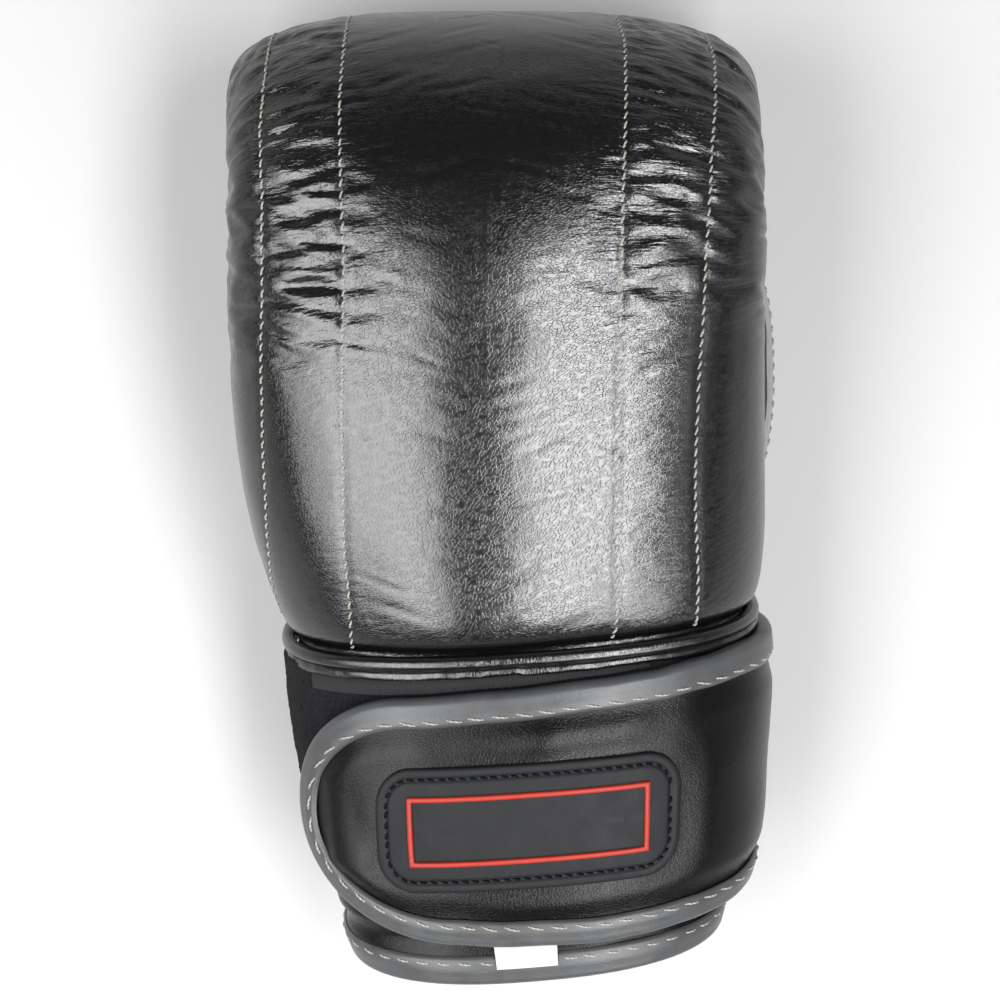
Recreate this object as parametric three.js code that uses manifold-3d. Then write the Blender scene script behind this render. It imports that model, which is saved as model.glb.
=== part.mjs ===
// A padded bag mitt for the left hand, lying palm down: a thick back pad that rolls over the
// knuckles and curls under the fingertips, a thin palm, a thumb stall, and a wrist cuff that a
// wide strap wraps. X runs towards the thumb side, Y towards the knuckles and Z up.
import * as THREE from "three";
import { mergeVertices } from "three/addons/utils/BufferGeometryUtils.js";
import Module from "manifold-3d";

const wasm = await Module();
wasm.setup();
const { Manifold, Mesh } = wasm;

// Driving dimensions, in millimetres
const fitGap = 0.3; // between pieces that touch
const cuffLength = 82.5; // from the hem to the seam, along the wrist
const cuffWall = 6;
const slitWidth = 12; // the cuff's opening, under the wrist
const slitCentre = 150; // how far round from the middle of the back
const patchThickness = 1.7; // loop pile on the cuff
const tapeThickness = 0.8;
const strapThickness = 2.6;
const bindingWidth = 8;
const bindingWall = 0.9;
const hemBindingWidth = 8.5;
const rollRadius = 1.5; // corded seam between hand and cuff
const badgeThickness = 1.8;
const frameWidth = 1.5;
const frameHeight = 0.5;
const tabThickness = 0.4;
const thumbWall = 4;
const thumbBindingWidth = 6;
const thumbBindingThickness = 1.2;
const seamDepth = 0.62; // where pad meets palm, as a share of a section's lower reach

// Lifts above the cuff's outer face, worked out outwards
const patchLift = fitGap;
const tapeLift = patchLift + patchThickness + fitGap;
const bindingLift = tapeLift;
const strapLift = bindingLift + bindingWall + fitGap;
const strapTop = strapLift + strapThickness;
const badgeLift = strapTop + fitGap;
const frameLift = badgeLift + badgeThickness + fitGap;

const radians = THREE.MathUtils.degToRad;

// A section row: its centre, how its axis climbs (pitch) and turns left (yaw), how far it
// reaches each way, and how square its upper and lower halves are. 2 is an ellipse.
const columns = ["x", "y", "z", "pitch", "yaw", "left", "right", "up", "down", "upperSquare", "lowerSquare"];
const sectionRows = (rows) => rows.map((row) => Object.fromEntries(columns.map((name, i) => [name, row[i]])));

// The cuff's outer face, from the hem to the seam
const cuffRows = sectionRows([
  [8.5, -110.3, 36.2, 24, 4.8, 46.5, 48.5, 27.0, 28.0, 2.4, 2.3],
  [6.2, -75.5, 39.0, 11, 4.0, 54.5, 55.5, 32.2, 34.8, 2.45, 2.4],
  [3.7, -30.2, 44.3, 14.5, 3.7, 56.5, 59.5, 33.3, 32.8, 2.5, 2.3],
]);

// The hand's outer face, from the wrist lip to where the roll over the knuckles begins
const handRows = sectionRows([
  [3.7, -29.6, 44.4, 14.5, 3.7, 56.0, 59.0, 32.8, 32.3, 2.5, 2.3],
  [3.7, -28.1, 44.6, 14.5, 3.7, 56.0, 59.0, 32.8, 32.3, 2.5, 2.3],
  [3.4, -25.0, 45.2, 14, 3.6, 59.0, 62.5, 36.6, 35.0, 2.6, 2.4],
  [1.5, -15.0, 47.4, 11, 3.0, 61.5, 66.0, 38.4, 35.0, 2.6, 2.4],
  [-1.5, 2.0, 51.5, 7, 1.0, 63.5, 69.0, 38.0, 33.0, 2.65, 2.4],
  [-4.0, 28.0, 58.0, 6, 0.0, 64.0, 71.0, 35.2, 29.5, 2.7, 2.4],
  [-4.0, 52.0, 65.2, 3, 0.0, 64.0, 70.5, 29.3, 26.0, 2.8, 2.4],
]);

// The roll over the knuckles, about a line across the hand: the angle turned through, the
// radii of its outer and inner faces, and its half widths
const pivot = { x: -4, y: 70, z: 38 };
const rollSquare = { upper: 3.0, lower: 2.4 };
const rollRows = [
  { turn: 0, outer: 56, inner: 6, left: 64.0, right: 70.0 },
  { turn: 30, outer: 56.5, inner: 6, left: 64.5, right: 70.0 },
  { turn: 60, outer: 57, inner: 6, left: 65.5, right: 70.0 },
  { turn: 90, outer: 56, inner: 6, left: 66.5, right: 70.0 },
  { turn: 120, outer: 50, inner: 6, left: 65.0, right: 64.0 },
  { turn: 150, outer: 43, inner: 6.5, left: 61.0, right: 52.0 },
  { turn: 172, outer: 40, inner: 7, left: 56.0, right: 44.0 },
].map(({ turn, outer, inner, left, right }) => {
  const middle = (outer + inner) / 2;
  const reach = (outer - inner) / 2;
  return {
    x: pivot.x,
    y: pivot.y + middle * Math.sin(radians(turn)),
    z: pivot.z + middle * Math.cos(radians(turn)),
    pitch: -turn,
    yaw: 0,
    left,
    right,
    up: reach,
    down: reach,
    upperSquare: rollSquare.upper,
    lowerSquare: rollSquare.lower,
  };
});

// The blunt fingertip end: the last section runs on and draws in along a quarter circle
const tipRadius = 12;
const lastRoll = rollRows.at(-1);
const tipRows = [35, 65, 88].map((angle) => {
  const ahead = tipRadius * Math.sin(radians(angle));
  const inset = tipRadius * (1 - Math.cos(radians(angle)));
  const row = { ...lastRoll };
  row.y += ahead * Math.cos(radians(row.pitch));
  row.z += ahead * Math.sin(radians(row.pitch));
  for (const side of ["left", "right", "up", "down"]) row[side] -= inset;
  return row;
});
const mittRows = [...handRows, ...rollRows, ...tipRows];

// How thick the wall is at the back, the sides and the palm, for each row of the hand and roll
const wallRows = [
  { back: 7, side: 6, palm: 6 },
  { back: 7, side: 6, palm: 6 },
  { back: 11, side: 7, palm: 4 },
  { back: 15, side: 8, palm: 3 },
  { back: 20, side: 9, palm: 3 },
  { back: 21, side: 9, palm: 3 },
  { back: 21, side: 9, palm: 3 },
  { back: 20, side: 9, palm: 3 },
  { back: 20, side: 9, palm: 3 },
  { back: 20, side: 10, palm: 3 },
  { back: 19, side: 10, palm: 3 },
  { back: 17, side: 10, palm: 3 },
  { back: 14, side: 10, palm: 3 },
];
const cavityEnd = wallRows.length - 1;
const cavityRows = wallRows.map((wall, i) => ({
  ...mittRows[i],
  left: mittRows[i].left - wall.side,
  right: mittRows[i].right - wall.side,
  up: mittRows[i].up - wall.back,
  down: mittRows[i].down - wall.palm,
}));

// The thumb stall's outer face, from its root inside the hand to its tip
const thumbRows = sectionRows([
  [38.0, -13.0, 29.0, -20, -36, 12.0, 12.0, 12.0, 12.0, 2.1, 2.1],
  [45.5, -3.0, 24.0, -15, -30, 14.0, 14.0, 14.0, 14.0, 2.2, 2.2],
  [52.0, 9.0, 20.0, -8, -18, 15.5, 15.5, 15.5, 15.5, 2.2, 2.2],
  [56.0, 24.0, 18.5, 0, -6, 15.5, 15.0, 15.0, 15.0, 2.2, 2.2],
  [57.0, 44.0, 19.0, 3, 0, 14.5, 14.0, 14.5, 14.5, 2.2, 2.2],
  [56.5, 56.0, 20.0, 5, 3, 12.8, 12.5, 13.0, 13.0, 2.1, 2.1],
  [56.0, 63.5, 20.7, 6, 4, 9.5, 9.5, 10.0, 10.0, 2, 2],
  [55.7, 67.5, 21.0, 6, 4, 5.0, 5.0, 5.5, 5.5, 2, 2],
]);

// The section a given way along the rows, eased from row to row by a Catmull-Rom curve that
// runs on straight past both ends
function rowAt(rows, place) {
  const i = THREE.MathUtils.clamp(Math.floor(place), 0, rows.length - 2);
  const f = place - i;
  const eased = {};
  for (const name of columns) {
    const [q, r] = [rows[i][name], rows[i + 1][name]];
    const p = rows[i - 1]?.[name] ?? 2 * q - r;
    const s = rows[i + 2]?.[name] ?? 2 * r - q;
    const curve = (2 * p - 5 * q + 4 * r - s) * f * f + (3 * q - p - 3 * r + s) * f ** 3;
    eased[name] = 0.5 * (2 * q + (r - p) * f + curve);
  }
  return eased;
}

// A point of a section's own plane, [across, up], set in space
function inSpace(row, across, up) {
  const pitch = radians(row.pitch);
  const yaw = radians(row.yaw);
  return new THREE.Vector3(
    row.x + Math.cos(yaw) * across + Math.sin(yaw) * Math.sin(pitch) * up,
    row.y + Math.sin(yaw) * across - Math.cos(yaw) * Math.sin(pitch) * up,
    row.z + Math.cos(pitch) * up,
  );
}

// A point on a section's rounded outline at an angle round it from the thumb side, moved
// outwards by lift along the outline's normal
function onSection(row, angle, lift = 0) {
  const [c, s] = [Math.cos(angle), Math.sin(angle)];
  const reachAcross = c >= 0 ? row.right : row.left;
  const reachUp = s >= 0 ? row.up : row.down;
  const square = s >= 0 ? row.upperSquare : row.lowerSquare;
  const [ac, as] = [Math.abs(c), Math.abs(s)];
  const normal = new THREE.Vector2(
    (Math.sign(c) * ac ** ((2 * square - 2) / square)) / reachAcross,
    (Math.sign(s) * as ** ((2 * square - 2) / square)) / reachUp,
  ).normalize();
  const across = Math.sign(c) * reachAcross * ac ** (2 / square) + lift * normal.x;
  const up = Math.sign(s) * reachUp * as ** (2 / square) + lift * normal.y;
  return inSpace(row, across, up);
}

// Angles round a section whose outline points are evenly spaced
function evenAngles(row, count) {
  const fine = 720;
  const at = (k) => (k / fine) * 2 * Math.PI;
  const length = [0];
  for (let k = 1; k <= fine; k++) {
    length.push(length[k - 1] + onSection(row, at(k)).distanceTo(onSection(row, at(k - 1))));
  }
  const angles = [];
  for (let n = 0, k = 0; n < count; n++) {
    const target = (n / count) * length[fine];
    while (length[k + 1] < target) k++;
    angles.push(at(k + (target - length[k]) / (length[k + 1] - length[k])));
  }
  return angles;
}

// The angle a given distance round the cuff from the middle of its back, towards the thumb
// side, measured on the middle row at the strap's outer face
const girthTable = (() => {
  const fine = 1440;
  const angleOf = (k) => Math.PI / 2 - (k / fine) * 2 * Math.PI;
  const point = (k) => onSection(cuffRows[1], angleOf(k), strapTop);
  const table = [{ around: 0, angle: angleOf(0) }];
  for (let k = 1; k <= fine; k++) {
    table.push({ around: table[k - 1].around + point(k).distanceTo(point(k - 1)), angle: angleOf(k) });
  }
  return table;
})();
const cuffGirth = girthTable.at(-1).around;
function angleAround(around) {
  const wrapped = THREE.MathUtils.euclideanModulo(around, cuffGirth);
  const k = Math.max(1, girthTable.findIndex((row) => row.around >= wrapped));
  const [before, after] = [girthTable[k - 1], girthTable[k]];
  const share = (wrapped - before.around) / (after.around - before.around);
  return before.angle + share * (after.angle - before.angle);
}

// A point of the wrist: how far round from the middle of the back, how far along from the
// hem, and how far outside the cuff's face
function onCuff(around, along, lift) {
  const row = rowAt(cuffRows, (along / cuffLength) * (cuffRows.length - 1));
  return onSection(row, angleAround(around), lift);
}

// Solids from points and triangles
function solidFrom(points, triangles) {
  const geometry = new THREE.BufferGeometry().setFromPoints(points);
  geometry.setIndex(triangles.flat());
  const merged = mergeVertices(geometry, 1e-4);
  const made = new Manifold(
    new Mesh({
      numProp: 3,
      vertProperties: merged.attributes.position.array,
      triVerts: new Uint32Array(merged.index.array),
    }),
  );
  return made;
}

// A solid through a run of closed rings that turn anticlockwise seen from behind. Its ends
// are closed by the ring's own outline, or it joins up with itself.
function loft(rings, { joined = false, outline = null } = {}) {
  const around = rings[0].length;
  const points = rings.flat();
  const triangles = [];
  const steps = joined ? rings.length : rings.length - 1;
  for (let i = 0; i < steps; i++) {
    for (let k = 0; k < around; k++) {
      const [a, b] = [i * around + k, i * around + ((k + 1) % around)];
      const shift = ((i + 1) % rings.length) * around - i * around;
      triangles.push([a, a + shift, b], [b, a + shift, b + shift]);
    }
  }
  if (!joined) {
    const contour = outline ?? rings[0].map((_, k) => {
      const angle = (k / around) * 2 * Math.PI;
      return new THREE.Vector2(Math.cos(angle), Math.sin(angle));
    });
    const last = (rings.length - 1) * around;
    for (const [a, b, c] of THREE.ShapeUtils.triangulateShape(contour, [])) {
      triangles.push([a, b, c], [last + a, last + c, last + b]);
    }
  }
  return solidFrom(points, triangles);
}

// A solid between two lifts over a grid of places, each a function from a lift to a point.
// Columns run on, the places in a column run to the left of them, and outwards is up.
function slab(columns, inner, outer) {
  const rings = columns.map((column) => [
    ...column.map((place) => place(outer)),
    ...column.map((place) => place(inner)).reverse(),
  ]);
  const last = columns[0].length - 1;
  const outline = rings[0].map((_, k) =>
    k <= last ? new THREE.Vector2(-k, 1) : new THREE.Vector2(k - 2 * last - 1, 0),
  );
  return loft(rings, { outline });
}

// A profile of [inwards, lift] points swept along a path on the cuff. Each path point has the
// place on the cuff and the direction inwards from the path.
function sweepOnCuff(path, profile, joined = false) {
  const rings = path.map(({ around, along, inAround, inAlong }) =>
    profile.map(([inwards, lift]) => onCuff(around + inwards * inAround, along + inwards * inAlong, lift)),
  );
  const outline = profile.map(([inwards, lift]) => new THREE.Vector2(inwards, lift));
  return loft(rings, { joined, outline });
}

// The path through points on the cuff, with its inward side on the right of travel
function pathOnCuff(points, joined = false) {
  const count = points.length;
  return points.map((point, i) => {
    const before = points[joined ? (i + count - 1) % count : Math.max(i - 1, 0)];
    const after = points[joined ? (i + 1) % count : Math.min(i + 1, count - 1)];
    const travel = new THREE.Vector2(after[0] - before[0], after[1] - before[1]).normalize();
    return { around: point[0], along: point[1], inAround: travel.y, inAlong: -travel.x };
  });
}

// A channel that grips an edge: its walls lie outside the two lifts of the edge
function channelProfile(low, high, width, wall) {
  const [under, over] = [low - fitGap, high + fitGap];
  return [
    [-fitGap - wall, under - wall],
    [width, under - wall],
    [width, under],
    [-fitGap, under],
    [-fitGap, over],
    [width, over],
    [width, over + wall],
    [-fitGap - wall, over + wall],
  ];
}

const places = (from, to, steps) =>
  Array.from({ length: steps + 1 }, (_, i) => from + ((to - from) * i) / steps);

// Hand: pad and palm are one hollow form, parted along the seam
const rollStart = handRows.length;
const rollEnd = rollStart + rollRows.length - 1;
const mittAngles = evenAngles(mittRows[rollStart], 40);
const mittPlaces = [
  ...places(0, 3, 6),
  ...places(4, rollStart, rollStart - 4),
  ...places(rollStart + 0.5, rollEnd, 2 * (rollEnd - rollStart) - 1),
  ...places(rollEnd + 1, mittRows.length - 1, 2),
];
function formOf(rows, stations, angles, lift = 0) {
  return loft(stations.map((place) => angles.map((angle) => onSection(rowAt(rows, place), angle, lift))));
}
const mittForm = formOf(mittRows, mittPlaces, mittAngles);
const mittClearance = formOf(mittRows, mittPlaces, mittAngles, fitGap);

const mouthPlace = -1; // the hollow runs on through the wrist lip
const cavityAngles = evenAngles(cavityRows[rollStart], 28);
const handCavity = formOf(cavityRows, [mouthPlace, ...places(0, cavityEnd, cavityEnd)], cavityAngles);

// Thumb: a hollow stall that grows out of the hand's lower thumb side
const thumbAngles = evenAngles(thumbRows[3], 20);
const thumbForm = formOf(thumbRows, places(0, 7, 12), thumbAngles);
const thumbCavity = formOf(thumbRows, places(0, 5.2, 8), thumbAngles, -thumbWall);

// Everything below the seam line, as a band that follows the form
function palmBand(raise, end) {
  const margin = 4;
  const stations = [mouthPlace, ...mittPlaces.filter((place) => place < end), end];
  return loft(
    stations.map((place) => {
      const row = rowAt(mittRows, place);
      const [left, right] = [-row.left - margin, row.right + margin];
      const [low, high] = [-row.down - margin, -seamDepth * row.down + raise];
      const corners = [[right, low], [right, high], [left, high], [left, low]];
      return corners.map(([across, up]) => inSpace(row, across, up));
    }),
  );
}
const largest = (solid) => solid.decompose().sort((a, b) => b.volume() - a.volume())[0];
const mittShell = mittForm.subtract(handCavity).subtract(thumbCavity);
const palmSolid = largest(mittShell.intersect(palmBand(0, cavityEnd)));
const padSolid = largest(mittShell.subtract(palmBand(fitGap, cavityEnd + 0.02)));
const thumbSolid = largest(thumbForm.subtract(thumbCavity).subtract(mittClearance));

// A strip of binding down the thumb's outer side
const thumbBindingColumns = places(2, 6.1, 12).map((place) => {
  const row = rowAt(thumbRows, place);
  return places(-0.5, 0.5, 2).map(
    (share) => (lift) => onSection(row, (share * thumbBindingWidth) / row.up, lift),
  );
});
const thumbBindingSolid = largest(
  slab(thumbBindingColumns, fitGap, fitGap + thumbBindingThickness).subtract(mittClearance),
);

// Stations round and along the cuff, which its layers share so that their facets lie parallel
const stationStep = cuffGirth / 56;
const stationRise = cuffLength / 4;
function stations(from, to, step) {
  const within = [];
  for (let k = Math.ceil((from + 0.2 * step) / step); k * step < to - 0.2 * step; k++) within.push(k * step);
  return [from, ...within, to];
}
const aroundFrom = (from, to) => stations(from, to, stationStep);
const alongFrom = (from, to) => stations(from, to, stationRise);

// A layer over the cuff between two lifts: each column has its place round and its places along
function layer(columns, inner, outer) {
  const grid = columns.map(({ around, alongs }) => alongs.map((along) => (lift) => onCuff(around, along, lift)));
  return slab(grid, inner, outer);
}
function rectangle({ from, to, low, high }, inner, outer) {
  const columns = aroundFrom(from, to).map((around) => ({ around, alongs: alongFrom(low, high) }));
  return layer(columns, inner, outer);
}

// Cuff: an open ring with a slit under the wrist, its hem bound
const cuffSides = { from: slitCentre + slitWidth / 2 - cuffGirth, to: slitCentre - slitWidth / 2 };
const cuffSolid = rectangle({ ...cuffSides, low: 0, high: cuffLength }, -cuffWall, 0);
const straightUp = (around) => ({ around, along: 0, inAround: 0, inAlong: 1 });
const hemPath = aroundFrom(cuffSides.from, cuffSides.to).reverse().map(straightUp);
const hemBindingSolid = sweepOnCuff(hemPath, channelProfile(-cuffWall, 0, hemBindingWidth, bindingWall));

// Corded seam: a round roll laid in the step between cuff and hand
const rollCentre = { along: cuffLength - fitGap, lift: fitGap + rollRadius };
const rollProfile = places(0, 315, 7).map((angle) => [
  rollRadius * Math.cos(radians(angle)),
  rollCentre.lift + rollRadius * Math.sin(radians(angle)),
]);
const rollPath = places(0, -cuffGirth + stationStep, 55).map((around) => ({
  ...straightUp(around),
  along: rollCentre.along,
}));
const seamRollSolid = sweepOnCuff(rollPath, rollProfile, true);

// Loop-pile patch on the back and little-finger side of the cuff
const patchHigh = rollCentre.along - rollRadius - fitGap;
const patchSolid = rectangle(
  { from: -84, to: 46, low: 24, high: patchHigh },
  patchLift,
  patchLift + patchThickness,
);

// Strap: from its root past the slit, round the thumb side and over the back, to a rounded
// end. The rows give its edges, and the end is a quarter ellipse above and one below.
const strapEnd = { tip: -61.5, middle: 43, upperFrom: -28, lowerFrom: -20 };
const strapRows = [
  { around: -28, low: 15.2, high: 74.4 },
  { around: -4, low: 13.6, high: 75.2 },
  { around: 18, low: 12.8, high: 76.1 },
  { around: 31, low: 13.2, high: 76.8 },
  { around: 44, low: 13.8, high: 78.2 },
  { around: 57, low: 14.3, high: 78.9 },
  { around: 70, low: 15.2, high: 78.4 },
  { around: 92, low: 17.0, high: 77.0 },
  { around: 130, low: 16.5, high: 75.0 },
  { around: 178, low: 16.0, high: 73.0 },
];
const strapRoot = strapRows.at(-1).around;
function strapEdge(side, around) {
  const start = strapEnd[side === "high" ? "upperFrom" : "lowerFrom"];
  const k = Math.max(1, strapRows.findIndex((row) => row.around >= Math.max(around, start)));
  const [before, after] = [strapRows[k - 1], strapRows[k]];
  const share = THREE.MathUtils.smoothstep(Math.max(around, start), before.around, after.around);
  const straight = THREE.MathUtils.lerp(before[side], after[side], share);
  const past = Math.max(0, start - around) / (start - strapEnd.tip);
  return strapEnd.middle + (straight - strapEnd.middle) * Math.sqrt(Math.max(0, 1 - past ** 2));
}
const endArounds = places(90, 15, 5).map(
  (angle) => strapEnd.upperFrom - (strapEnd.upperFrom - strapEnd.tip) * Math.sin(radians(angle)),
);
const strapArounds = [...endArounds, ...aroundFrom(strapEnd.upperFrom, strapRoot)];
const grip = bindingWidth - bindingWall - fitGap; // how far the binding reaches in over the strap
const strapColumns = strapArounds.slice(1).map((around) => {
  const [low, high] = [strapEdge("low", around), strapEdge("high", around)];
  const reach = Math.min(grip, (high - low) / 3);
  return { around, alongs: [low, low + reach, (low + high) / 2, high - reach, high] };
});
const strapSolid = layer(strapColumns, strapLift, strapTop);

// Binding round the strap's long edges and end, as a channel that grips it
const upperEdge = strapArounds.map((around) => [around, strapEdge("high", around)]);
const lowerEdge = strapArounds.slice(1).map((around) => [around, strapEdge("low", around)]);
const strapBindingSolid = sweepOnCuff(
  pathOnCuff([...lowerEdge.reverse(), ...upperEdge]),
  channelProfile(strapLift, strapTop, grip, bindingWall),
);

// Badge: a moulded plate with rounded corners on the strap, and the raised frame line on it
const badge = { around: 0.5, along: 43.3, halfLength: 38.5, halfWidth: 14.8, corner: 9 };
function badgeHalfWidth(x) {
  const past = Math.max(0, Math.abs(x) - (badge.halfLength - badge.corner));
  return badge.halfWidth - badge.corner + Math.sqrt(Math.max(0, badge.corner ** 2 - past ** 2));
}
const badgeStraight = badge.halfLength - badge.corner;
const badgeCorner = places(0, 90, 4).map((angle) => badgeStraight + badge.corner * Math.sin(radians(angle)));
const badgePlaces = [
  ...badgeCorner.map((x) => -x).reverse(),
  ...stations(badge.around - badgeStraight, badge.around + badgeStraight, stationStep)
    .slice(1, -1)
    .map((around) => around - badge.around),
  ...badgeCorner,
];
const badgeColumns = badgePlaces.map((x) => ({
  around: badge.around + x,
  alongs: places(badge.along - badgeHalfWidth(x), badge.along + badgeHalfWidth(x), 2),
}));
const badgeSolid = layer(badgeColumns, badgeLift, badgeLift + badgeThickness);

const frame = { halfLength: 31, halfWidth: 8.4 };
const frameCorners = [[-1, -1], [-1, 1], [1, 1], [1, -1]].map(([x, y]) => [
  badge.around + x * frame.halfLength,
  badge.along + y * frame.halfWidth,
]);
const framePath = frameCorners.flatMap(([around, along], k) => {
  const [nextAround, nextAlong] = frameCorners[(k + 1) % 4];
  const side = k % 2 ? 9 : 2;
  return places(0, 1, side)
    .slice(0, -1)
    .map((share) => [around + (nextAround - around) * share, along + (nextAlong - along) * share]);
});
const frameProfile = [
  [0, frameLift],
  [frameWidth, frameLift],
  [frameWidth, frameLift + frameHeight],
  [0, frameLift + frameHeight],
];
const frameSolid = sweepOnCuff(pathOnCuff(framePath, true), frameProfile, true);

// Woven tape over the patch's upper edge, up to where the strap covers it
const tape = { from: -56, to: 32, low: 74.8, high: patchHigh };
const tapeColumns = aroundFrom(tape.from, tape.to).map((around) => {
  const clear = strapEdge("high", around) + bindingWall + 2 * fitGap;
  return { around, alongs: [Math.max(tape.low, clear), tape.high] };
});
const tapeSolid = layer(tapeColumns, tapeLift, tapeLift + tapeThickness);

// Size tab, left bare, that hangs out from under the strap over the hem
const tab = { from: -12, to: 6.5, low: 5.3, high: 22, lift: bindingWall + 2 * fitGap };
const tabSolid = rectangle(tab, tab.lift, tab.lift + tabThickness);

// Finishes, as they look under studio light
const finish = (color, roughness) => new THREE.MeshStandardMaterial({ color, roughness, metalness: 0 });
const glossLeather = finish(0x16161a, 0.35);
const palmLeather = finish(0x1b1b1f, 0.5);
const strapLeather = finish(0x17171b, 0.4);
const greyBinding = finish(0x6d6f73, 0.45);
const paleBinding = finish(0xb9babb, 0.5);
const pile = finish(0x17171a, 0.95);
const wovenTape = finish(0x2c2c31, 0.8);
const mouldedRubber = finish(0x4a4b50, 0.6);
const redRubber = finish(0xd23a33, 0.5);
const satin = finish(0xf2f2ee, 0.6);

// Leather lies flat where it rests, so each solid is cut level with the floor
function meshOf(name, solid, material) {
  const rested = solid.trimByPlane([0, 0, 1], 0);
  const { vertProperties, triVerts } = rested.getMesh();
  const geometry = new THREE.BufferGeometry();
  geometry.setAttribute("position", new THREE.BufferAttribute(Float32Array.from(vertProperties), 3));
  geometry.setIndex(new THREE.BufferAttribute(Uint32Array.from(triVerts), 1));
  geometry.computeVertexNormals();
  const mesh = new THREE.Mesh(geometry, material);
  mesh.name = name;
  return mesh;
}
function groupOf(...meshes) {
  const group = new THREE.Group();
  group.add(...meshes);
  return group;
}

const hand = groupOf(
  meshOf("back_pad", padSolid, glossLeather),
  meshOf("palm_panel", palmSolid, palmLeather),
  meshOf("thumb_stall", thumbSolid, palmLeather),
  meshOf("thumb_binding", thumbBindingSolid, paleBinding),
);
const wrist = groupOf(
  meshOf("seam_roll", seamRollSolid, glossLeather),
  meshOf("cuff", cuffSolid, strapLeather),
  meshOf("hem_binding", hemBindingSolid, greyBinding),
  meshOf("loop_patch", patchSolid, pile),
  meshOf("patch_tape", tapeSolid, wovenTape),
  meshOf("size_tab", tabSolid, satin),
);
const closure = groupOf(
  meshOf("wrist_strap", strapSolid, strapLeather),
  meshOf("strap_binding", strapBindingSolid, greyBinding),
  meshOf("badge_plate", badgeSolid, mouldedRubber),
  meshOf("badge_frame", frameSolid, redRubber),
);

// The origin is on the floor, under the middle of the mitt
const mitt = groupOf(hand, wrist, closure);
const box = new THREE.Box3().setFromObject(mitt, true);
mitt.position.set(-(box.min.x + box.max.x) / 2, -(box.min.y + box.max.y) / 2, 0);

export default mitt;
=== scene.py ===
import bmesh
import bpy
import numpy as np
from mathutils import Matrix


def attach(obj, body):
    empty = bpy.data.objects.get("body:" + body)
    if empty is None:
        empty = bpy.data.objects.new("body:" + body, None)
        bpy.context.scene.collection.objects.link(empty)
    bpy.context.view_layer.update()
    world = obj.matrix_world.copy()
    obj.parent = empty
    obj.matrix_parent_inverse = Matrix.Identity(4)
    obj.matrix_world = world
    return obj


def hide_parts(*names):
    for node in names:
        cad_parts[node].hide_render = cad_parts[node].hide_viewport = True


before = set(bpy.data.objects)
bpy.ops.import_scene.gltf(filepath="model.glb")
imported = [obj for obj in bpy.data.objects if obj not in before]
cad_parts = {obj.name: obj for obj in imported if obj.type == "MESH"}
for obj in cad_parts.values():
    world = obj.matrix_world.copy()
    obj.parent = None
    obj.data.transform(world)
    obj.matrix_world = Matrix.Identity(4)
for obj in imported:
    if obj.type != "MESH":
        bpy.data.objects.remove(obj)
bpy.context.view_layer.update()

# A padded bag mitt, palm down. Shapes are worked out in millimetres, with X to the thumb side,
# Y to the knuckles and Z up, and are moved into the frame when they become meshes.
frameShift = np.array([-1.166, -1.054, 0.0])  # from the form's own origin to the frame's


# A row is a section: x, y, z, pitch, yaw, left, right, up, down, upper and lower squareness
cuffRows = np.array([
    [8.5, -110.3, 36.2, 24, 4.8, 46.5, 48.5, 27.0, 28.0, 2.4, 2.3],
    [6.2, -75.5, 39.0, 11, 4.0, 54.5, 55.5, 32.2, 34.8, 2.45, 2.4],
    [3.7, -30.2, 44.3, 14.5, 3.7, 56.5, 59.5, 33.3, 32.8, 2.5, 2.3],
])
handRows = np.array([
    [3.7, -29.6, 44.4, 14.5, 3.7, 56.0, 59.0, 32.8, 32.3, 2.5, 2.3],
    [3.7, -28.1, 44.6, 14.5, 3.7, 56.0, 59.0, 32.8, 32.3, 2.5, 2.3],
    [3.4, -25.0, 45.2, 14, 3.6, 59.0, 62.5, 36.6, 35.0, 2.6, 2.4],
    [1.5, -15.0, 47.4, 11, 3.0, 61.5, 66.0, 38.4, 35.0, 2.6, 2.4],
    [-1.5, 2.0, 51.5, 7, 1.0, 63.5, 69.0, 38.0, 33.0, 2.65, 2.4],
    [-4.0, 28.0, 58.0, 6, 0.0, 64.0, 71.0, 35.2, 29.5, 2.7, 2.4],
    [-4.0, 52.0, 65.2, 3, 0.0, 64.0, 70.5, 29.3, 26.0, 2.8, 2.4],
])
roll = {  # over the knuckles, about a line across the hand
    "pivot": (-4, 70, 38), "square": (3.0, 2.4),
    "turn": [0, 30, 60, 90, 120, 150, 172],
    "outer": [56, 56.5, 57, 56, 50, 43, 40],
    "inner": [6, 6, 6, 6, 6, 6.5, 7],
    "left": [64, 64.5, 65.5, 66.5, 65, 61, 56],
    "right": [70, 70, 70, 70, 64, 52, 44],
    "tipRadius": 12, "tipAngles": [35, 65, 88],
}
thumbRows = np.array([
    [38.0, -13.0, 29.0, -20, -36, 12.0, 12.0, 12.0, 12.0, 2.1, 2.1],
    [45.5, -3.0, 24.0, -15, -30, 14.0, 14.0, 14.0, 14.0, 2.2, 2.2],
    [52.0, 9.0, 20.0, -8, -18, 15.5, 15.5, 15.5, 15.5, 2.2, 2.2],
    [56.0, 24.0, 18.5, 0, -6, 15.5, 15.0, 15.0, 15.0, 2.2, 2.2],
    [57.0, 44.0, 19.0, 3, 0, 14.5, 14.0, 14.5, 14.5, 2.2, 2.2],
    [56.5, 56.0, 20.0, 5, 3, 12.8, 12.5, 13.0, 13.0, 2.1, 2.1],
    [56.0, 63.5, 20.7, 6, 4, 9.5, 9.5, 10.0, 10.0, 2, 2],
    [55.7, 67.5, 21.0, 6, 4, 5.0, 5.0, 5.5, 5.5, 2, 2],
])


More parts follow.
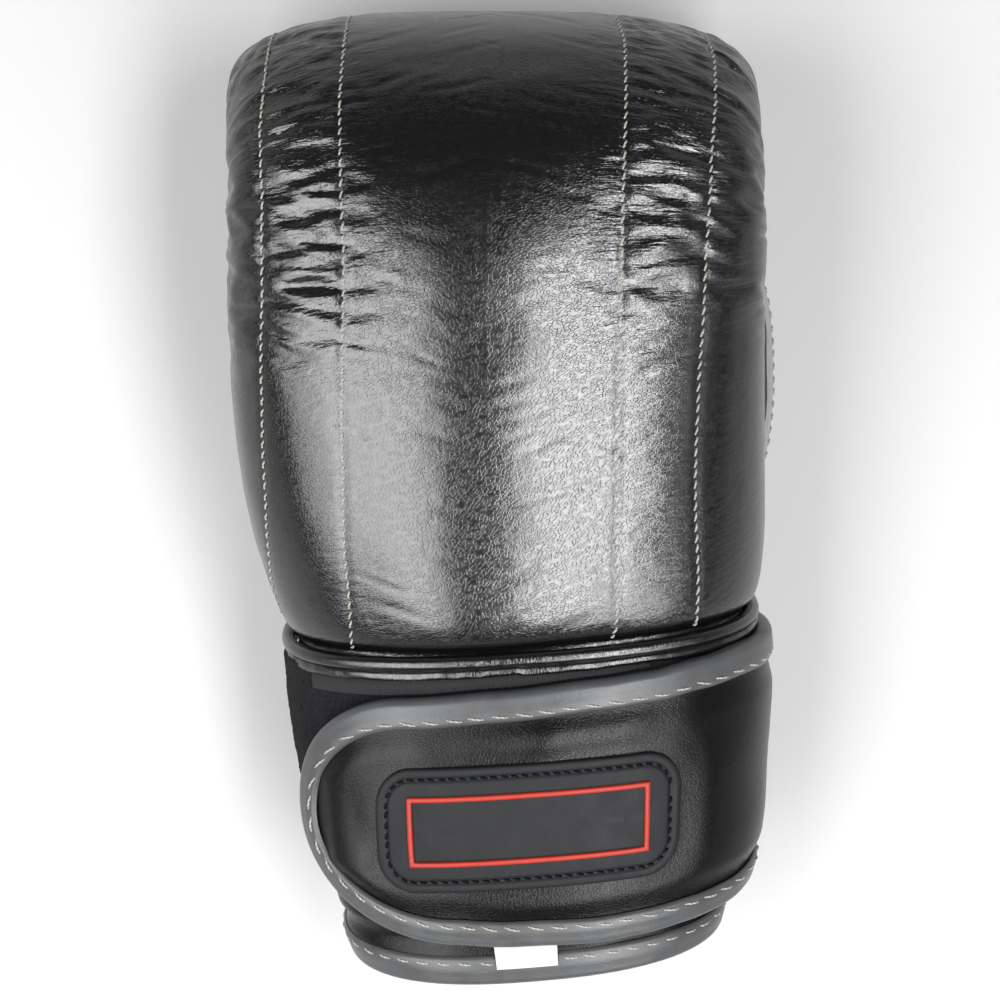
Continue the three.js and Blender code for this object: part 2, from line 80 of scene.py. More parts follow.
def rollSections():
    # Each section stands on a circle about the pivot, its outer face outwards; past the last,
    # the tip runs straight on and draws in along a quarter circle
    turn, outer, inner = (np.array(roll[key], float) for key in ("turn", "outer", "inner"))
    angle, middle, reach = np.radians(turn), (outer + inner) / 2, (outer - inner) / 2
    rows = np.zeros((len(turn), 11))
    rows[:, 0] = roll["pivot"][0]
    rows[:, 1] = roll["pivot"][1] + middle * np.sin(angle)
    rows[:, 2] = roll["pivot"][2] + middle * np.cos(angle)
    rows[:, 3] = -turn
    rows[:, 5], rows[:, 6] = roll["left"], roll["right"]
    rows[:, 7] = rows[:, 8] = reach
    rows[:, 9], rows[:, 10] = roll["square"]
    tip = np.radians(roll["tipAngles"])
    ends = np.repeat(rows[-1:], len(tip), 0)
    ahead = roll["tipRadius"] * np.sin(tip)
    ends[:, 1] += ahead * np.cos(-angle[-1])
    ends[:, 2] += ahead * np.sin(-angle[-1])
    ends[:, 5:9] -= (roll["tipRadius"] * (1 - np.cos(tip)))[:, None]
    return np.concatenate([rows, ends])


mittRows = np.concatenate([handRows, rollSections()])
walls = np.array([  # back, side and palm, for each row up to the hollow's end
    [7, 6, 6], [7, 6, 6], [11, 7, 4], [15, 8, 3], [20, 9, 3], [21, 9, 3], [21, 9, 3],
    [20, 9, 3], [20, 9, 3], [20, 10, 3], [19, 10, 3], [17, 10, 3], [14, 10, 3],
])
hollowEnd = len(walls) - 1
hollowRows = mittRows[:len(walls)].copy()
hollowRows[:, 5:9] -= walls[:, [1, 1, 0, 2]]
seamAngle = np.arcsin(0.62 ** 1.2)  # pad meets palm 0.62 of the way down


def rowAt(rows, place):
    # A Catmull-Rom curve through the rows, run on straight past both ends
    place = np.asarray(place, float)
    ends = np.concatenate([[2 * rows[0] - rows[1]], rows, [2 * rows[-1] - rows[-2]]])
    i = np.clip(np.floor(place).astype(int), 0, len(rows) - 2)
    f = (place - i)[..., None]
    p, q, r, s = (ends[i + k] for k in range(4))
    return 0.5 * (2 * q + (r - p) * f + (2 * p - 5 * q + 4 * r - s) * f ** 2
                  + (3 * q - p - 3 * r + s) * f ** 3)


def outlineOf(row, angle, lift=0.0):
    # Across = reach times cos to the power 2/n, up = reach times sin to the power 2/n, each
    # moved out by lift along the curve's own normal
    left, right, above, below, upper, lower = (row[..., k] for k in range(5, 11))
    c, s = np.cos(angle), np.sin(angle)
    a, b = np.where(c >= 0, right, left), np.where(s >= 0, above, below)
    n = np.where(s >= 0, upper, lower)
    ac, au = np.abs(c), np.abs(s)
    outX = np.sign(c) * ac ** (2 - 2 / n) / a
    outY = np.sign(s) * au ** (2 - 2 / n) / b
    size = np.hypot(outX, outY)
    across = np.sign(c) * a * ac ** (2 / n) + lift * outX / size
    return across, np.sign(s) * b * au ** (2 / n) + lift * outY / size


def inSpace(row, across, up):
    # The section's plane is tipped by its pitch and turned by its yaw about its centre
    pitch, yaw = np.radians(row[..., 3]), np.radians(row[..., 4])
    return np.stack([
        row[..., 0] + np.cos(yaw) * across + np.sin(yaw) * np.sin(pitch) * up,
        row[..., 1] + np.sin(yaw) * across - np.cos(yaw) * np.sin(pitch) * up,
        row[..., 2] + np.cos(pitch) * up,
    ], -1)


def onSection(row, angle, lift=0.0):
    # The place in space of a section's outline at an angle from its thumb side
    return inSpace(row, *outlineOf(row, angle, lift))


def runAlong(points):
    # The distance run along a line of points
    return np.concatenate([[0], np.linalg.norm(np.diff(points, axis=0), axis=1).cumsum()])


def girthTable():
    # Distance round the middle cuff row at the strap's face, from the middle of the back
    angles = np.pi / 2 - np.linspace(0, 2 * np.pi, 1441)
    points = onSection(cuffRows[1], angles, wrist["strapTop"])
    around = runAlong(points)
    girth = around[-1]
    whole = np.concatenate([around[:-1] - girth, around, around[1:] + girth])
    turned = np.concatenate([angles[:-1] + 2 * np.pi, angles, angles[1:] - 2 * np.pi])
    return whole, turned, girth


wrist = {  # lifts above the cuff's face, and the cuff's own sizes
    "length": 82.5, "wall": 6.0, "gap": 0.3, "patch": (0.3, 2.0), "tape": (2.3, 3.1),
    "strapUnder": 3.5, "strapTop": 6.1,
    "badge": (6.4, 8.2), "line": (8.5, 9.0), "slit": (144, 156),
}
girthPlaces, girthAngles, cuffGirth = girthTable()


def onCuff(around, along, lift):
    # Round from the middle of the back, along from the hem, and lift above the cuff's face
    angle = np.interp(around, girthPlaces, girthAngles)
    place = np.asarray(along, float) / wrist["length"] * (len(cuffRows) - 1)
    return onSection(rowAt(cuffRows, place), angle, lift)


def between(low, high, value):
    # 0 below low, 1 above high, and the smooth 3t2 - 2t3 between
    t = np.clip((value - low) / (high - low), 0, 1)
    return t * t * (3 - 2 * t)


def noise(x, y, seed):
    # Seeded random heights on a lattice of unit cells, eased from corner to corner, -1 to 1
    table = np.random.default_rng(seed).uniform(-1, 1, (128, 128))
    i, j = np.floor(x).astype(int), np.floor(y).astype(int)
    u, v = between(0, 1, x - i), between(0, 1, y - j)
    i, j, i2, j2 = i % 128, j % 128, (i + 1) % 128, (j + 1) % 128
    low = table[i, j] * (1 - u) + table[i2, j] * u
    high = table[i, j2] * (1 - u) + table[i2, j2] * u
    return low * (1 - v) + high * v


def runLengths(points, axis):
    # Distance run along one axis of a grid of points, as the mean of all its lines
    step = np.linalg.norm(np.diff(points, axis=axis), axis=-1).mean(1 - axis)
    return np.concatenate([[0], step.cumsum()])


def surface(points, ring=False, joined=False, swap=False, chart=None):
    # Quads over a grid of points; ring closes its columns, joined its rows. The surface
    # coordinates are the distances run across and along it, in metres, or those of chart.
    rows, cols = points.shape[:2]
    i, k = np.meshgrid(np.arange(rows - (not joined)), np.arange(cols - (not ring)), indexing="ij")
    corner = np.stack([[i, k], [i, k + 1], [i + 1, k + 1], [i + 1, k]])
    corner = corner.reshape(4, 2, -1).transpose(2, 0, 1)
    faces = corner[..., 0] % rows * cols + corner[..., 1] % cols
    u = runLengths(np.concatenate([points, points[:, :1]], 1), 1)
    v = runLengths(np.concatenate([points, points[:1]], 0), 0)
    uv = np.stack([u[corner[..., 1]], v[corner[..., 0]]], -1) / 1000
    if chart is not None:
        uv = chart[corner[..., 0], corner[..., 1]] / 1000
    if swap:
        uv = uv[..., ::-1]
    return {"points": points.reshape(-1, 3), "faces": faces, "uv": uv, "material": 0}


def cap(part, line, other):
    # Triangles between two lines of a part's points, the first the finer or as fine
    m, n = len(line) - 1, len(other) - 1
    near = np.floor((np.arange(m) + 0.5) * n / m + 0.4999).astype(int)
    near = np.minimum(near, n)
    fans = np.stack([line[:-1], line[1:], other[near]], -1)
    near = np.append(near, n)
    steps = np.flatnonzero(np.diff(near) > 0) + 1
    bridges = np.stack([other[near[steps - 1]], line[steps], other[near[steps]]], -1)
    faces = np.concatenate([fans, bridges])
    places = part["points"][faces][..., :2] / 1000
    return {"points": np.zeros((0, 3)), "faces": faces, "uv": places, "material": 0}


def closedRing(*grids, half=None, **options):
    # Grids side by side in one ring, whose ends are closed from its first half to its second
    ring = np.concatenate(grids, 1)
    part = surface(ring, ring=True, **options)
    rows, cols = ring.shape[:2]
    half = (cols - 1) // 2 if half is None else half
    first, second = np.arange(half + 1), np.arange(half + 1, cols)[::-1]
    return [part, *(cap(part, start + first, start + second) for start in (0, (rows - 1) * cols))]


def makePiece(name, parts, materials, node=None, sharp=50, level=0.0):
    # All parts go into one mesh at rest on the floor, doubles merged and faces turned
    # outwards. A part without points is made of those of the part before it.
    start, points, faces, uvs, numbers = 0, [], [], [], []
    for part in parts:
        if len(part["points"]):
            start, base = start + len(part["points"]), start
            points.append(part["points"])
        faces += (part["faces"] + base).tolist()
        uvs.append(part["uv"].reshape(-1, 2))
        numbers.append(np.full(len(part["faces"]), part["material"]))
    points = np.concatenate(points)
    points[:, 2] = np.maximum(points[:, 2], level)
    mesh = bpy.data.meshes.new(name)
    mesh.from_pydata(((points + frameShift) / 1000).tolist(), [], faces)
    mesh.uv_layers.new(name="surface").data.foreach_set("uv", np.concatenate(uvs).ravel())
    mesh.polygons.foreach_set("material_index", np.concatenate(numbers))
    mesh.polygons.foreach_set("use_smooth", np.ones(len(faces), bool))
    work = bmesh.new()
    work.from_mesh(mesh)
    bmesh.ops.remove_doubles(work, verts=work.verts, dist=2e-6)
    bmesh.ops.dissolve_degenerate(work, edges=work.edges, dist=1e-6)
    bmesh.ops.recalc_face_normals(work, faces=work.faces)
    work.to_mesh(mesh)
    work.free()
    mesh.set_sharp_from_angle(angle=np.radians(sharp))
    for material in materials:
        mesh.materials.append(material)
    piece = bpy.data.objects.new(name, mesh)
    bpy.context.scene.collection.objects.link(piece)
    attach(piece, "root")
    if node:
        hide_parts(node)
    return piece


def linear(code):
    # An sRGB hex colour turned to linear: c/12.92 in the dark, ((c + 0.055)/1.055)^2.4 above
    c = np.array([int(code[k:k + 2], 16) for k in (1, 3, 5)]) / 255
    return (*np.where(c <= 0.04045, c / 12.92, ((c + 0.055) / 1.055) ** 2.4).tolist(), 1.0)


def addNode(owner, kind, inputs=(), out=0, **settings):
    # Adds a node with its settings, gives each named input a value or a link, and hands back
    # one of its outputs
    tree = owner.node_tree
    node = tree.nodes.new("ShaderNode" + kind)
    for name, value in settings.items():
        setattr(node, name, value)
    for name, value in dict(inputs).items():
        if isinstance(value, bpy.types.NodeSocket):
            tree.links.new(value, node.inputs[name])
        else:
            node.inputs[name].default_value = value
    return node.outputs[out]


def newMaterial(name, values):
    # A Principled material whose even values are set on the shader's own sockets
    material = bpy.data.materials.new(name)
    material.use_nodes = True
    for key, value in values.items():
        material.node_tree.nodes["Principled BSDF"].inputs[key].default_value = value
    return material


def finish(material, look, normal, toneAndPaintedShade, gloss=None):
    # The end of every finish: two colours mixed by a tone, which on cloth and thread follows
    # their relief and is painted shade in its low parts, the bumps, and a roughness that runs with
    # the gloss where it changes
    dark, light = (linear(code) for code in look["colours"])
    sockets = {"Normal": normal, "Base Color": addNode(
        material, "Mix", {0: toneAndPaintedShade, 6: dark, 7: light}, 2, data_type="RGBA")}
    if gloss is not None:
        least, most = look["roughness"]
        sockets["Roughness"] = addNode(material, "MapRange", {
            0: gloss, 1: 0.3, 2: 0.7, 3: least, 4: most})
    shader = material.node_tree.nodes["Principled BSDF"]
    for name, socket in sockets.items():
        material.node_tree.links.new(socket, shader.inputs[name])
    return material


def crinkles(material, uv, look):
    # Fine creases across the hand, which grow from the middle panel out to the sewn bands
    # and from the wrist up to the knuckles
    away, up = (addNode(material, "SeparateXYZ", {0: uv}, way) for way in "XY")
    away = addNode(material, "Math", {0: away}, operation="ABSOLUTE")
    drawn = addNode(material, "Mapping", {0: uv, "Scale": look["stretch"]})
    height = addNode(material, "TexNoise", {
        "Vector": drawn, "Scale": 1 / look["pitch"], "Detail": 2.0, "Roughness": 0.5})
    for value, (low, high, least) in ((away, look["out"]), (up, look["up"])):
        share = addNode(material, "MapRange", {0: value, 1: low, 2: high, 3: least, 4: 1.0})
        height = addNode(material, "Math", {0: height, 1: share}, operation="MULTIPLY")
    return height


def leather(name, look):
    # Finished leather: small cells whose borders are creased here and there, finer wrinkles
    # that run across it, soft hollows, and a little change of gloss and shade
    material = newMaterial(name, {"IOR": look["ior"], "Specular IOR Level": look["level"]})
    uv = addNode(material, "UVMap", uv_map="surface")
    flat, drawn = (addNode(material, "Mapping", {
        0: uv, "Scale": look[key], "Rotation": (0, 0, look["slant"])})
        for key in ("cellStretch", "wrinkleStretch"))
    border = addNode(material, "TexVoronoi", {
        "Vector": flat, "Scale": 1 / look["cell"], "Randomness": 1.0}, feature="DISTANCE_TO_EDGE")
    patch = addNode(material, "TexNoise", {
        "Vector": flat, "Scale": 0.45 / look["cell"], "Detail": 1.0})
    creased = look["creased"]
    plain = [addNode(material, "MapRange", {0: value, 1: low, 2: high}) for value, low, high
             in ((border, 0.0, 0.16), (patch, creased - 0.06, creased + 0.06))]
    pores = addNode(material, "Math", {0: plain[0], 1: plain[1]}, operation="MAXIMUM")
    wrinkles = addNode(material, "TexNoise", {
        "Vector": drawn, "Scale": 1 / look["wrinkle"], "Detail": 3.0, "Roughness": 0.6})
    hollows = addNode(material, "TexNoise", {
        "Vector": uv, "Scale": 1 / look["hollow"], "Detail": 2.0})
    heights = [(pores, look["poreDepth"]), (wrinkles, look["wrinkleDepth"]),
               (hollows, look["hollowDepth"])]
    if "crinkle" in look:
        heights.append((crinkles(material, uv, look["crinkle"]), look["crinkle"]["depth"]))
    below = {}  # each bump lies on the one before
    for height, depth in heights:
        below = {"Normal": addNode(material, "Bump", {
            "Strength": 1.0, "Distance": depth, "Height": height, **below})}
    return finish(material, look, below["Normal"], hollows, wrinkles)


waveUnit = 0.3142  # a wave texture's bands repeat every waveUnit over its scale


def cloth(name, look):
    # Woven or piled cloth: crossed bands as wide as its yarn, broken up by fuzz, and sheen; its
    # colour is darker where these are low, painted shade between the yarns and in the fuzz
    material = newMaterial(name, {
        "IOR": 1.45, "Roughness": look["roughness"], "Sheen Weight": look["sheen"],
        "Sheen Roughness": 0.5, "Specular IOR Level": look["level"]})
    uv = addNode(material, "UVMap", uv_map="surface")
    bands = {"Vector": uv, "Scale": waveUnit / look["yarn"], "Distortion": look["unevenness"],
             "Detail": 1.0, "Detail Scale": 2.0}
    warp, weft = (addNode(material, "TexWave", bands, "Fac", bands_direction=way) for way in "XY")
    yarns = addNode(material, "Math", {0: warp, 1: weft}, operation="MAXIMUM")
    fuzz = addNode(material, "TexNoise", {
        "Vector": uv, "Scale": 1 / look["fuzz"], "Detail": 4.0, "Roughness": 0.7})
    height = addNode(material, "Mix", {0: look["fuzzShare"], 2: yarns, 3: fuzz})
    bump = addNode(material, "Bump", {
        "Strength": look["strength"], "Distance": look["depth"], "Height": height})
    # The colour follows the height: painted shade in the low parts of the weave and fuzz
    return finish(material, look, bump, addNode(material, "MapRange", {0: height, 1: 0.36, 2: 0.64}))


def moulded(name, look):
    # Moulded or coated plastic: a fine even grain with a little change of gloss and shade
    material = newMaterial(name, {"IOR": look["ior"], "Specular IOR Level": look["level"]})
    uv = addNode(material, "UVMap", uv_map="surface")
    grain = addNode(material, "TexNoise", {
        "Vector": uv, "Scale": 1 / look["grain"], "Detail": 3.0, "Roughness": 0.6})
    clouds = addNode(material, "TexNoise", {
        "Vector": uv, "Scale": 1 / look["cloud"], "Detail": 2.0})
    bump = addNode(material, "Bump", {
        "Strength": look["strength"], "Distance": 0.0002, "Height": grain})
    return finish(material, look, bump, clouds, clouds)


def thread(name, look):
    # Twisted sewing thread: slanting bands across it, one for each turn of its plies, with
    # painted shade: the colour is darker in the grooves between the turns
    material = newMaterial(name, {
        "IOR": 1.5, "Roughness": 0.55, "Specular IOR Level": look["level"],
        "Sheen Weight": look["sheen"]})
    uv = addNode(material, "UVMap", uv_map="surface")
    twist = addNode(material, "TexWave", {"Vector": uv, "Scale": 480.0, "Distortion": 0.3}, "Fac",
                    bands_direction="DIAGONAL")
    bump = addNode(material, "Bump", {"Strength": 0.7, "Distance": 0.0001, "Height": twist})
    # The colour follows the twist: painted shade in the grooves
    return finish(material, look, bump, twist)


# Film-finished cowhide: black with hard bright reflections, broken by pores and creases
glossHide = leather("film-finished cowhide", {
    "ior": 1.6, "level": 0.5, "roughness": (0.17, 0.25), "slant": 0.0,
    "cellStretch": (0.8, 1.4, 1.0), "cell": 0.0008, "creased": 0.6, "poreDepth": 0.00002,
    "wrinkleStretch": (0.5, 1.6, 1.0), "wrinkle": 0.0014, "wrinkleDepth": 0.000022,
    "hollow": 0.009, "hollowDepth": 0.00016, "colours": ("#060607", "#0a0a0c"),
    "crinkle": {"out": (0.018, 0.037, 0.07), "up": (0.065, 0.1, 0.4),
                "stretch": (0.28, 1.0, 1.0), "pitch": 0.0013, "depth": 0.0003},
})
# Plain split leather of the palm: the same black, duller, for grip
palmHide = leather("grip-finished split leather", {
    "ior": 1.5, "level": 0.3, "roughness": (0.42, 0.56), "slant": 0.1,
    "cellStretch": (1.0, 1.2, 1.0), "cell": 0.0013, "creased": 0.6, "poreDepth": 0.00008,
    "wrinkleStretch": (1.0, 1.4, 1.0), "wrinkle": 0.003, "wrinkleDepth": 0.00015,
    "hollow": 0.012, "hollowDepth": 0.0003, "colours": ("#0a0a0b", "#0f0f10"),
})
# Polyurethane leather of strap and cuff: a finer even grain and a milder gloss
strapHide = leather("polyurethane leather", {
    "ior": 1.5, "level": 0.18, "roughness": (0.27, 0.31), "slant": 0.05,
    "cellStretch": (1.2, 0.9, 1.0), "cell": 0.0008, "creased": 0.72, "poreDepth": 0.000022,
    "wrinkleStretch": (1.6, 0.8, 1.0), "wrinkle": 0.0011, "wrinkleDepth": 0.000035,
    "hollow": 0.011, "hollowDepth": 0.00004, "colours": ("#040405", "#060607"),
})
# Coated binding tape, folded over raw edges: a soft shine, mid grey or, on the thumb, pale
bindingTape = {"ior": 1.48, "level": 0.4, "grain": 0.0006, "cloud": 0.006, "strength": 0.25}
greyTape = moulded("coated binding tape", {
    **bindingTape, "roughness": (0.3, 0.4), "colours": ("#303133", "#3f4041")})
paleTape = moulded("pale coated binding tape", {
    **bindingTape, "roughness": (0.45, 0.55), "colours": ("#77787a", "#88898a")})
# Brushed nylon loop pile: near black and matt, with a soft fuzz
loopPile = cloth("brushed nylon loop pile", {
    "level": 0.06, "roughness": 0.95, "sheen": 0.03, "yarn": 0.0012, "unevenness": 8.0,
    "fuzz": 0.0005, "fuzzShare": 0.85, "strength": 1.0, "depth": 0.0009,
    "colours": ("#010102", "#1b1b1e"),
})
# Grosgrain tape: its ribs are geometry, and the yarn on them is fine
grosgrain = cloth("polyester grosgrain", {
    "level": 0.2, "roughness": 0.7, "sheen": 0.08, "yarn": 0.0004, "unevenness": 1.0,
    "fuzz": 0.0005, "fuzzShare": 0.35, "strength": 0.6, "depth": 0.00015,
    "colours": ("#09090a", "#1b1b1d"),
})
# Knitted lining inside the cuff: dark and dull
lining = cloth("knitted polyester lining", {
    "level": 0.3, "roughness": 0.85, "sheen": 0.2, "yarn": 0.0011, "unevenness": 1.5,
    "fuzz": 0.0008, "fuzzShare": 0.4, "strength": 0.8, "depth": 0.0003,
    "colours": ("#0d0d0f", "#1c1c1f"),
})
# Satin label tape: white, tight and slightly shiny
satin = cloth("woven satin label", {
    "level": 0.3, "roughness": 0.45, "sheen": 0.1, "yarn": 0.0004, "unevenness": 0.6,
    "fuzz": 0.0006, "fuzzShare": 0.3, "strength": 0.3, "depth": 0.0001,
    "colours": ("#91918d", "#9e9e9a"),
})
# Soft moulded rubber: charcoal and matt, and a brighter red for the raised line
greyRubber = moulded("soft moulded rubber", {
    "ior": 1.52, "level": 0.16, "grain": 0.0004, "cloud": 0.008, "strength": 0.2,
    "roughness": (0.5, 0.62), "colours": ("#0c0d0f", "#121315"),
})
redRubber = moulded("red moulded rubber", {
    "ior": 1.52, "level": 0.3, "grain": 0.0004, "cloud": 0.005, "strength": 0.15,
    "roughness": (0.45, 0.55), "colours": ("#7c170b", "#8a1f0e"),
})
# Polyester thread: cream on the seams, dull black round the badge
creamThread = thread("cream polyester thread", {
    "level": 0.5, "sheen": 0.2, "colours": ("#625f57", "#918d83")})
blackThread = thread("black polyester thread", {
    "level": 0.1, "sheen": 0.0, "colours": ("#010101", "#040404")})
print("materials ready")


stitch = {"rings": 6, "sides": 6}


def stitchesAlong(line, normal, look, seed):
    # Each stitch is a round thread that leaves the surface, rises on a half sine and goes
    # back in. Its centre follows the line, turned a little across it.
    run = runAlong(line)
    count = int((run[-1] - look["length"]) / look["pitch"])
    wobble = np.random.default_rng(seed).uniform(-1, 1, (3, count))
    middle = look["pitch"] * (np.arange(count) + 0.5) + 0.06 * look["pitch"] * wobble[0]
    rings, sides = stitch["rings"], stitch["sides"]
    share = np.linspace(-0.5, 0.5, rings)
    at = middle[:, None] + share * look["length"]

    def sample(values, where):
        return np.stack([np.interp(where, run, values[:, k]) for k in range(3)], -1)

    centre, up = sample(line, at), sample(normal, at)
    ahead = sample(line, at + 0.2) - sample(line, at - 0.2)
    ahead /= np.linalg.norm(ahead, axis=-1, keepdims=True) + 1e-9
    up -= (up * ahead).sum(-1, keepdims=True) * ahead
    up /= np.linalg.norm(up, axis=-1, keepdims=True)
    side = np.cross(ahead, up)
    slant = (look["slant"] + 0.08 * wobble[1])[:, None] * share * look["length"]
    rise = look["radius"] * (1.5 * np.cos(np.pi * share) - 0.75)
    centre = centre + side * slant[..., None] + up * rise[:, None]
    thick = look["radius"] * (1 + 0.06 * wobble[2][:, None]) * (1 - (2 * share) ** 6 * 0.45)
    turn = np.linspace(0, 2 * np.pi, sides, endpoint=False)
    spoke = side[:, :, None] * np.cos(turn)[:, None] + up[:, :, None] * np.sin(turn)[:, None]
    points = centre[:, :, None] + spoke * thick[..., None, None]
    points = points[points[..., 2].min((1, 2)) > 0.05]  # none where the mitt lies on the floor
    count = len(points)
    one = surface(points[0], ring=True)
    closing = np.array([[0, 1, 2, 3], [0, 3, 4, 5]])  # two quads over six sides
    faces = np.concatenate([one["faces"], closing, closing[:, ::-1] + (rings - 1) * sides])
    uv = np.concatenate([one["uv"], np.zeros((4, 4, 2))])
    faces = (faces[None] + (np.arange(count) * rings * sides)[:, None, None]).reshape(-1, 4)
    return {"points": points.reshape(-1, 3), "faces": faces,
            "uv": np.tile(uv, (count, 1, 1)), "material": 0}


def sew(name, lines, look, yarn=creamThread):
    # One piece of stitches for all the lines, each a pair of points and ways out
    parts = [stitchesAlong(points, ways, look, look["seed"] + k)
             for k, (points, ways) in enumerate(lines)]
    makePiece(name, parts, [yarn], sharp=80)


def alongCuff(path, inwards, lift):
    # A line on the wrist beside a path, and the way out of the surface along it
    around, along, inAround, inAlong = path.T
    low, high = (onCuff(around + inwards * inAround, along + inwards * inAlong, lift + up)
                 for up in (0.0, 1.0))
    return low, high - low


pad = {
    "rowStep": 0.82, "columns": 240, "under": 40,  # millimetres along, and columns round
    "channelDepth": 0.16, "channelWidth": 1.0, "lipDepth": 1.7, "lipReach": 4.5,
    "tuck": 0.1, "tuckReach": 2.6, "crown": 2.2, "crownEnds": (138, 96), "waves": (0.14, 0.05),
    "stitch": {"pitch": 2.7, "length": 2.4, "radius": 0.28, "slant": 0.3, "seed": 0},
}
padLines = [  # (place along the rows, girth from the middle of the back), left to right
    [(2.2, -70.5), (3.0, -68.6), (3.36, -65), (4.06, -60.5), (4.97, -57), (5.91, -55.8),
     (7.15, -55), (7.84, -56), (9.0, -55), (12, -52), (13, -47), (16, -38)],
    [(1.0, -42.2), (2.07, -41.8), (3.53, -38.8), (4.39, -36), (5.18, -34.3), (6.52, -34),
     (7.2, -34.7), (8.02, -35.4), (8.92, -34.8), (12, -33), (13, -31), (16, -27)],
    [(1.0, 23.4), (1.7, 24), (3.18, 27.4), (4.38, 31.5), (5.0, 33.1), (6.0, 33.5), (7.1, 33.9),
     (8.0, 35), (8.77, 35.2), (9.35, 33.7), (12, 31), (13, 26), (16, 21)],
    [(1.0, 45.4), (2.1, 46.3), (3.34, 49.1), (4.24, 51), (4.89, 53.2), (5.63, 54.5),
     (6.54, 54.8), (7.14, 55.7), (7.6, 56.4), (8.16, 58), (8.74, 58.5), (9.45, 57), (12, 50),
     (13, 41), (16, 31)],
]
bandCreases = {  # how many, and the range of each size in millimetres
    "along": (78, 200), "count": 80, "depth": (0.06, 0.28), "width": (0.55, 1.1),
    "length": (4, 12),
}
sideCreases = {
    "along": (84, 200), "count": 34, "depth": (0.12, 0.44), "width": (0.7, 1.6),
    "length": (8, 16),
}
middleCreases = {
    "along": (10, 190), "count": 110, "depth": (0.04, 0.16), "width": (0.6, 1.4),
    "length": (4, 14),
}
creaseGroups = [  # each with its zone across
    {"across": (-57, -33), **bandCreases}, {"across": (33, 58), **bandCreases},
    {"across": (-80, -56), **sideCreases}, {"across": (57, 82), **sideCreases},
    {"across": (-34, 34), **middleCreases},
]
foldRows = np.array([  # the main folds: across, along, depth, width, half length, lean
    [-44, 81.0, 0.20, 1.1, 13, -0.22], [-45, 84.5, 0.26, 1.1, 12, -0.20],
    [-43, 90.0, 0.28, 1.2, 13, -0.12], [-44, 95.0, 0.38, 1.2, 14, 0.00],
    [-44, 105.0, 0.42, 1.3, 15, 0.08], [-45, 111.0, 0.32, 1.3, 13, 0.14],
    [-45, 121.0, 0.28, 1.4, 14, 0.25], [-46, 130.0, 0.25, 1.4, 14, 0.35],
    [46, 77.0, 0.26, 1.2, 14, 0.38], [45, 101.5, 0.38, 1.2, 15, 0.08],
    [45, 107.0, 0.26, 1.2, 13, 0.00], [46, 116.0, 0.32, 1.3, 14, -0.06],
    [46, 122.5, 0.28, 1.3, 14, -0.12], [47, 129.0, 0.25, 1.4, 14, -0.25],
])


def creaseDepth(across, along):
    # Each crease is a valley, 1 over e deep at its width, between two low ridges. It fades
    # towards its ends, and leans up towards the middle at the knuckles and down below them.
    height = np.zeros_like(across)
    random = np.random.default_rng(7)
    strewn = []
    for group in creaseGroups:
        n = group["count"]
        sizes = [random.uniform(*group[key], n)
                 for key in ("across", "along", "depth", "width", "length")]
        lean = np.interp(sizes[1], [84, 125, 170], [-0.3, 0.15, 0.55])
        lean = lean + random.uniform(-0.14, 0.14, n)
        strewn.append(np.stack([*sizes, -lean * np.sign(sizes[0])], 1))
    for rows in (foldRows, *strewn):
        bends = random.uniform(-0.012, 0.012, len(rows))
        for (centreX, centreY, depth, width, length, lean), bend in zip(rows, bends):
            x = across - centreX
            near = np.abs(x) < length
            x = x[near]
            y = along[near] - centreY - lean * x - bend * x * x
            fade = (1 - (x / length) ** 2) ** 2
            valley = np.exp(-(y / width) ** 2)
            ridge = np.exp(-((np.abs(y) / width - 2.2) / 1.3) ** 2)
            height[near] += depth * fade * (0.4 * ridge - valley)
    return height


def padPlaces(step):
    # Places along the rows an even distance apart on the middle of the back, and that distance
    fine = np.linspace(0, len(mittRows) - 1, 4001)
    line = onSection(rowAt(mittRows, fine), np.pi / 2)
    run = runAlong(line)
    turn = np.interp(hollowEnd, fine, run)
    before = np.linspace(0, turn, int(turn / step))
    after = np.linspace(turn, run[-1], int((run[-1] - turn) / (1.6 * step)))
    along = np.concatenate([before, after])
    return np.interp(along, run, fine), along, len(before)


def girthRuns(places):
    # For each section, the distance run from its seam on the thumb side, at fine angles
    fine = np.linspace(-seamAngle, np.pi + seamAngle, 721)
    x, y = outlineOf(rowAt(mittRows, places)[:, None], fine[None])
    step = np.hypot(np.diff(x, axis=1), np.diff(y, axis=1))
    return fine, np.concatenate([np.zeros((len(places), 1)), step.cumsum(1)], 1)


def anglesAtGirth(fine, runs, girth):
    # The angle at each girth from the middle of the back, read off each row's own table
    apart = 1000.0 * np.arange(len(runs))[:, None]  # keeps the rows' tables from touching
    wanted = runs[:, 360:361] - girth + apart
    angle = np.interp(wanted.ravel(), (runs + apart).ravel(), np.tile(fine, len(runs)))
    return angle.reshape(girth.shape)


def seamGirths(places, runs):
    # The girths of the left seam, the four stitched lines and the right seam, for each row
    lines = [np.interp(places, *np.array(line).T)[:, None] for line in padLines]
    centre = runs[:, 360:361]
    return np.concatenate([centre - runs[:, -1:], *lines, centre], 1)


def atGrid(values, row, column):
    # A grid read between its points by Catmull-Rom weights both ways
    def weights(place, count):
        i = np.clip(np.floor(place).astype(int), 0, count - 2)
        f = place - i
        at = [np.clip(i + k, 0, count - 1) for k in (-1, 0, 1, 2)]
        return at, (0.5 * (2 * f ** 2 - f - f ** 3), 0.5 * (2 - 5 * f ** 2 + 3 * f ** 3),
                    0.5 * (f + 4 * f ** 2 - 3 * f ** 3), 0.5 * (f ** 3 - f ** 2))
    rows, down = weights(row, values.shape[0])
    columns, across = weights(column, values.shape[1])
    return sum(d * a * values[i, j] for i, d in zip(rows, down) for j, a in zip(columns, across))


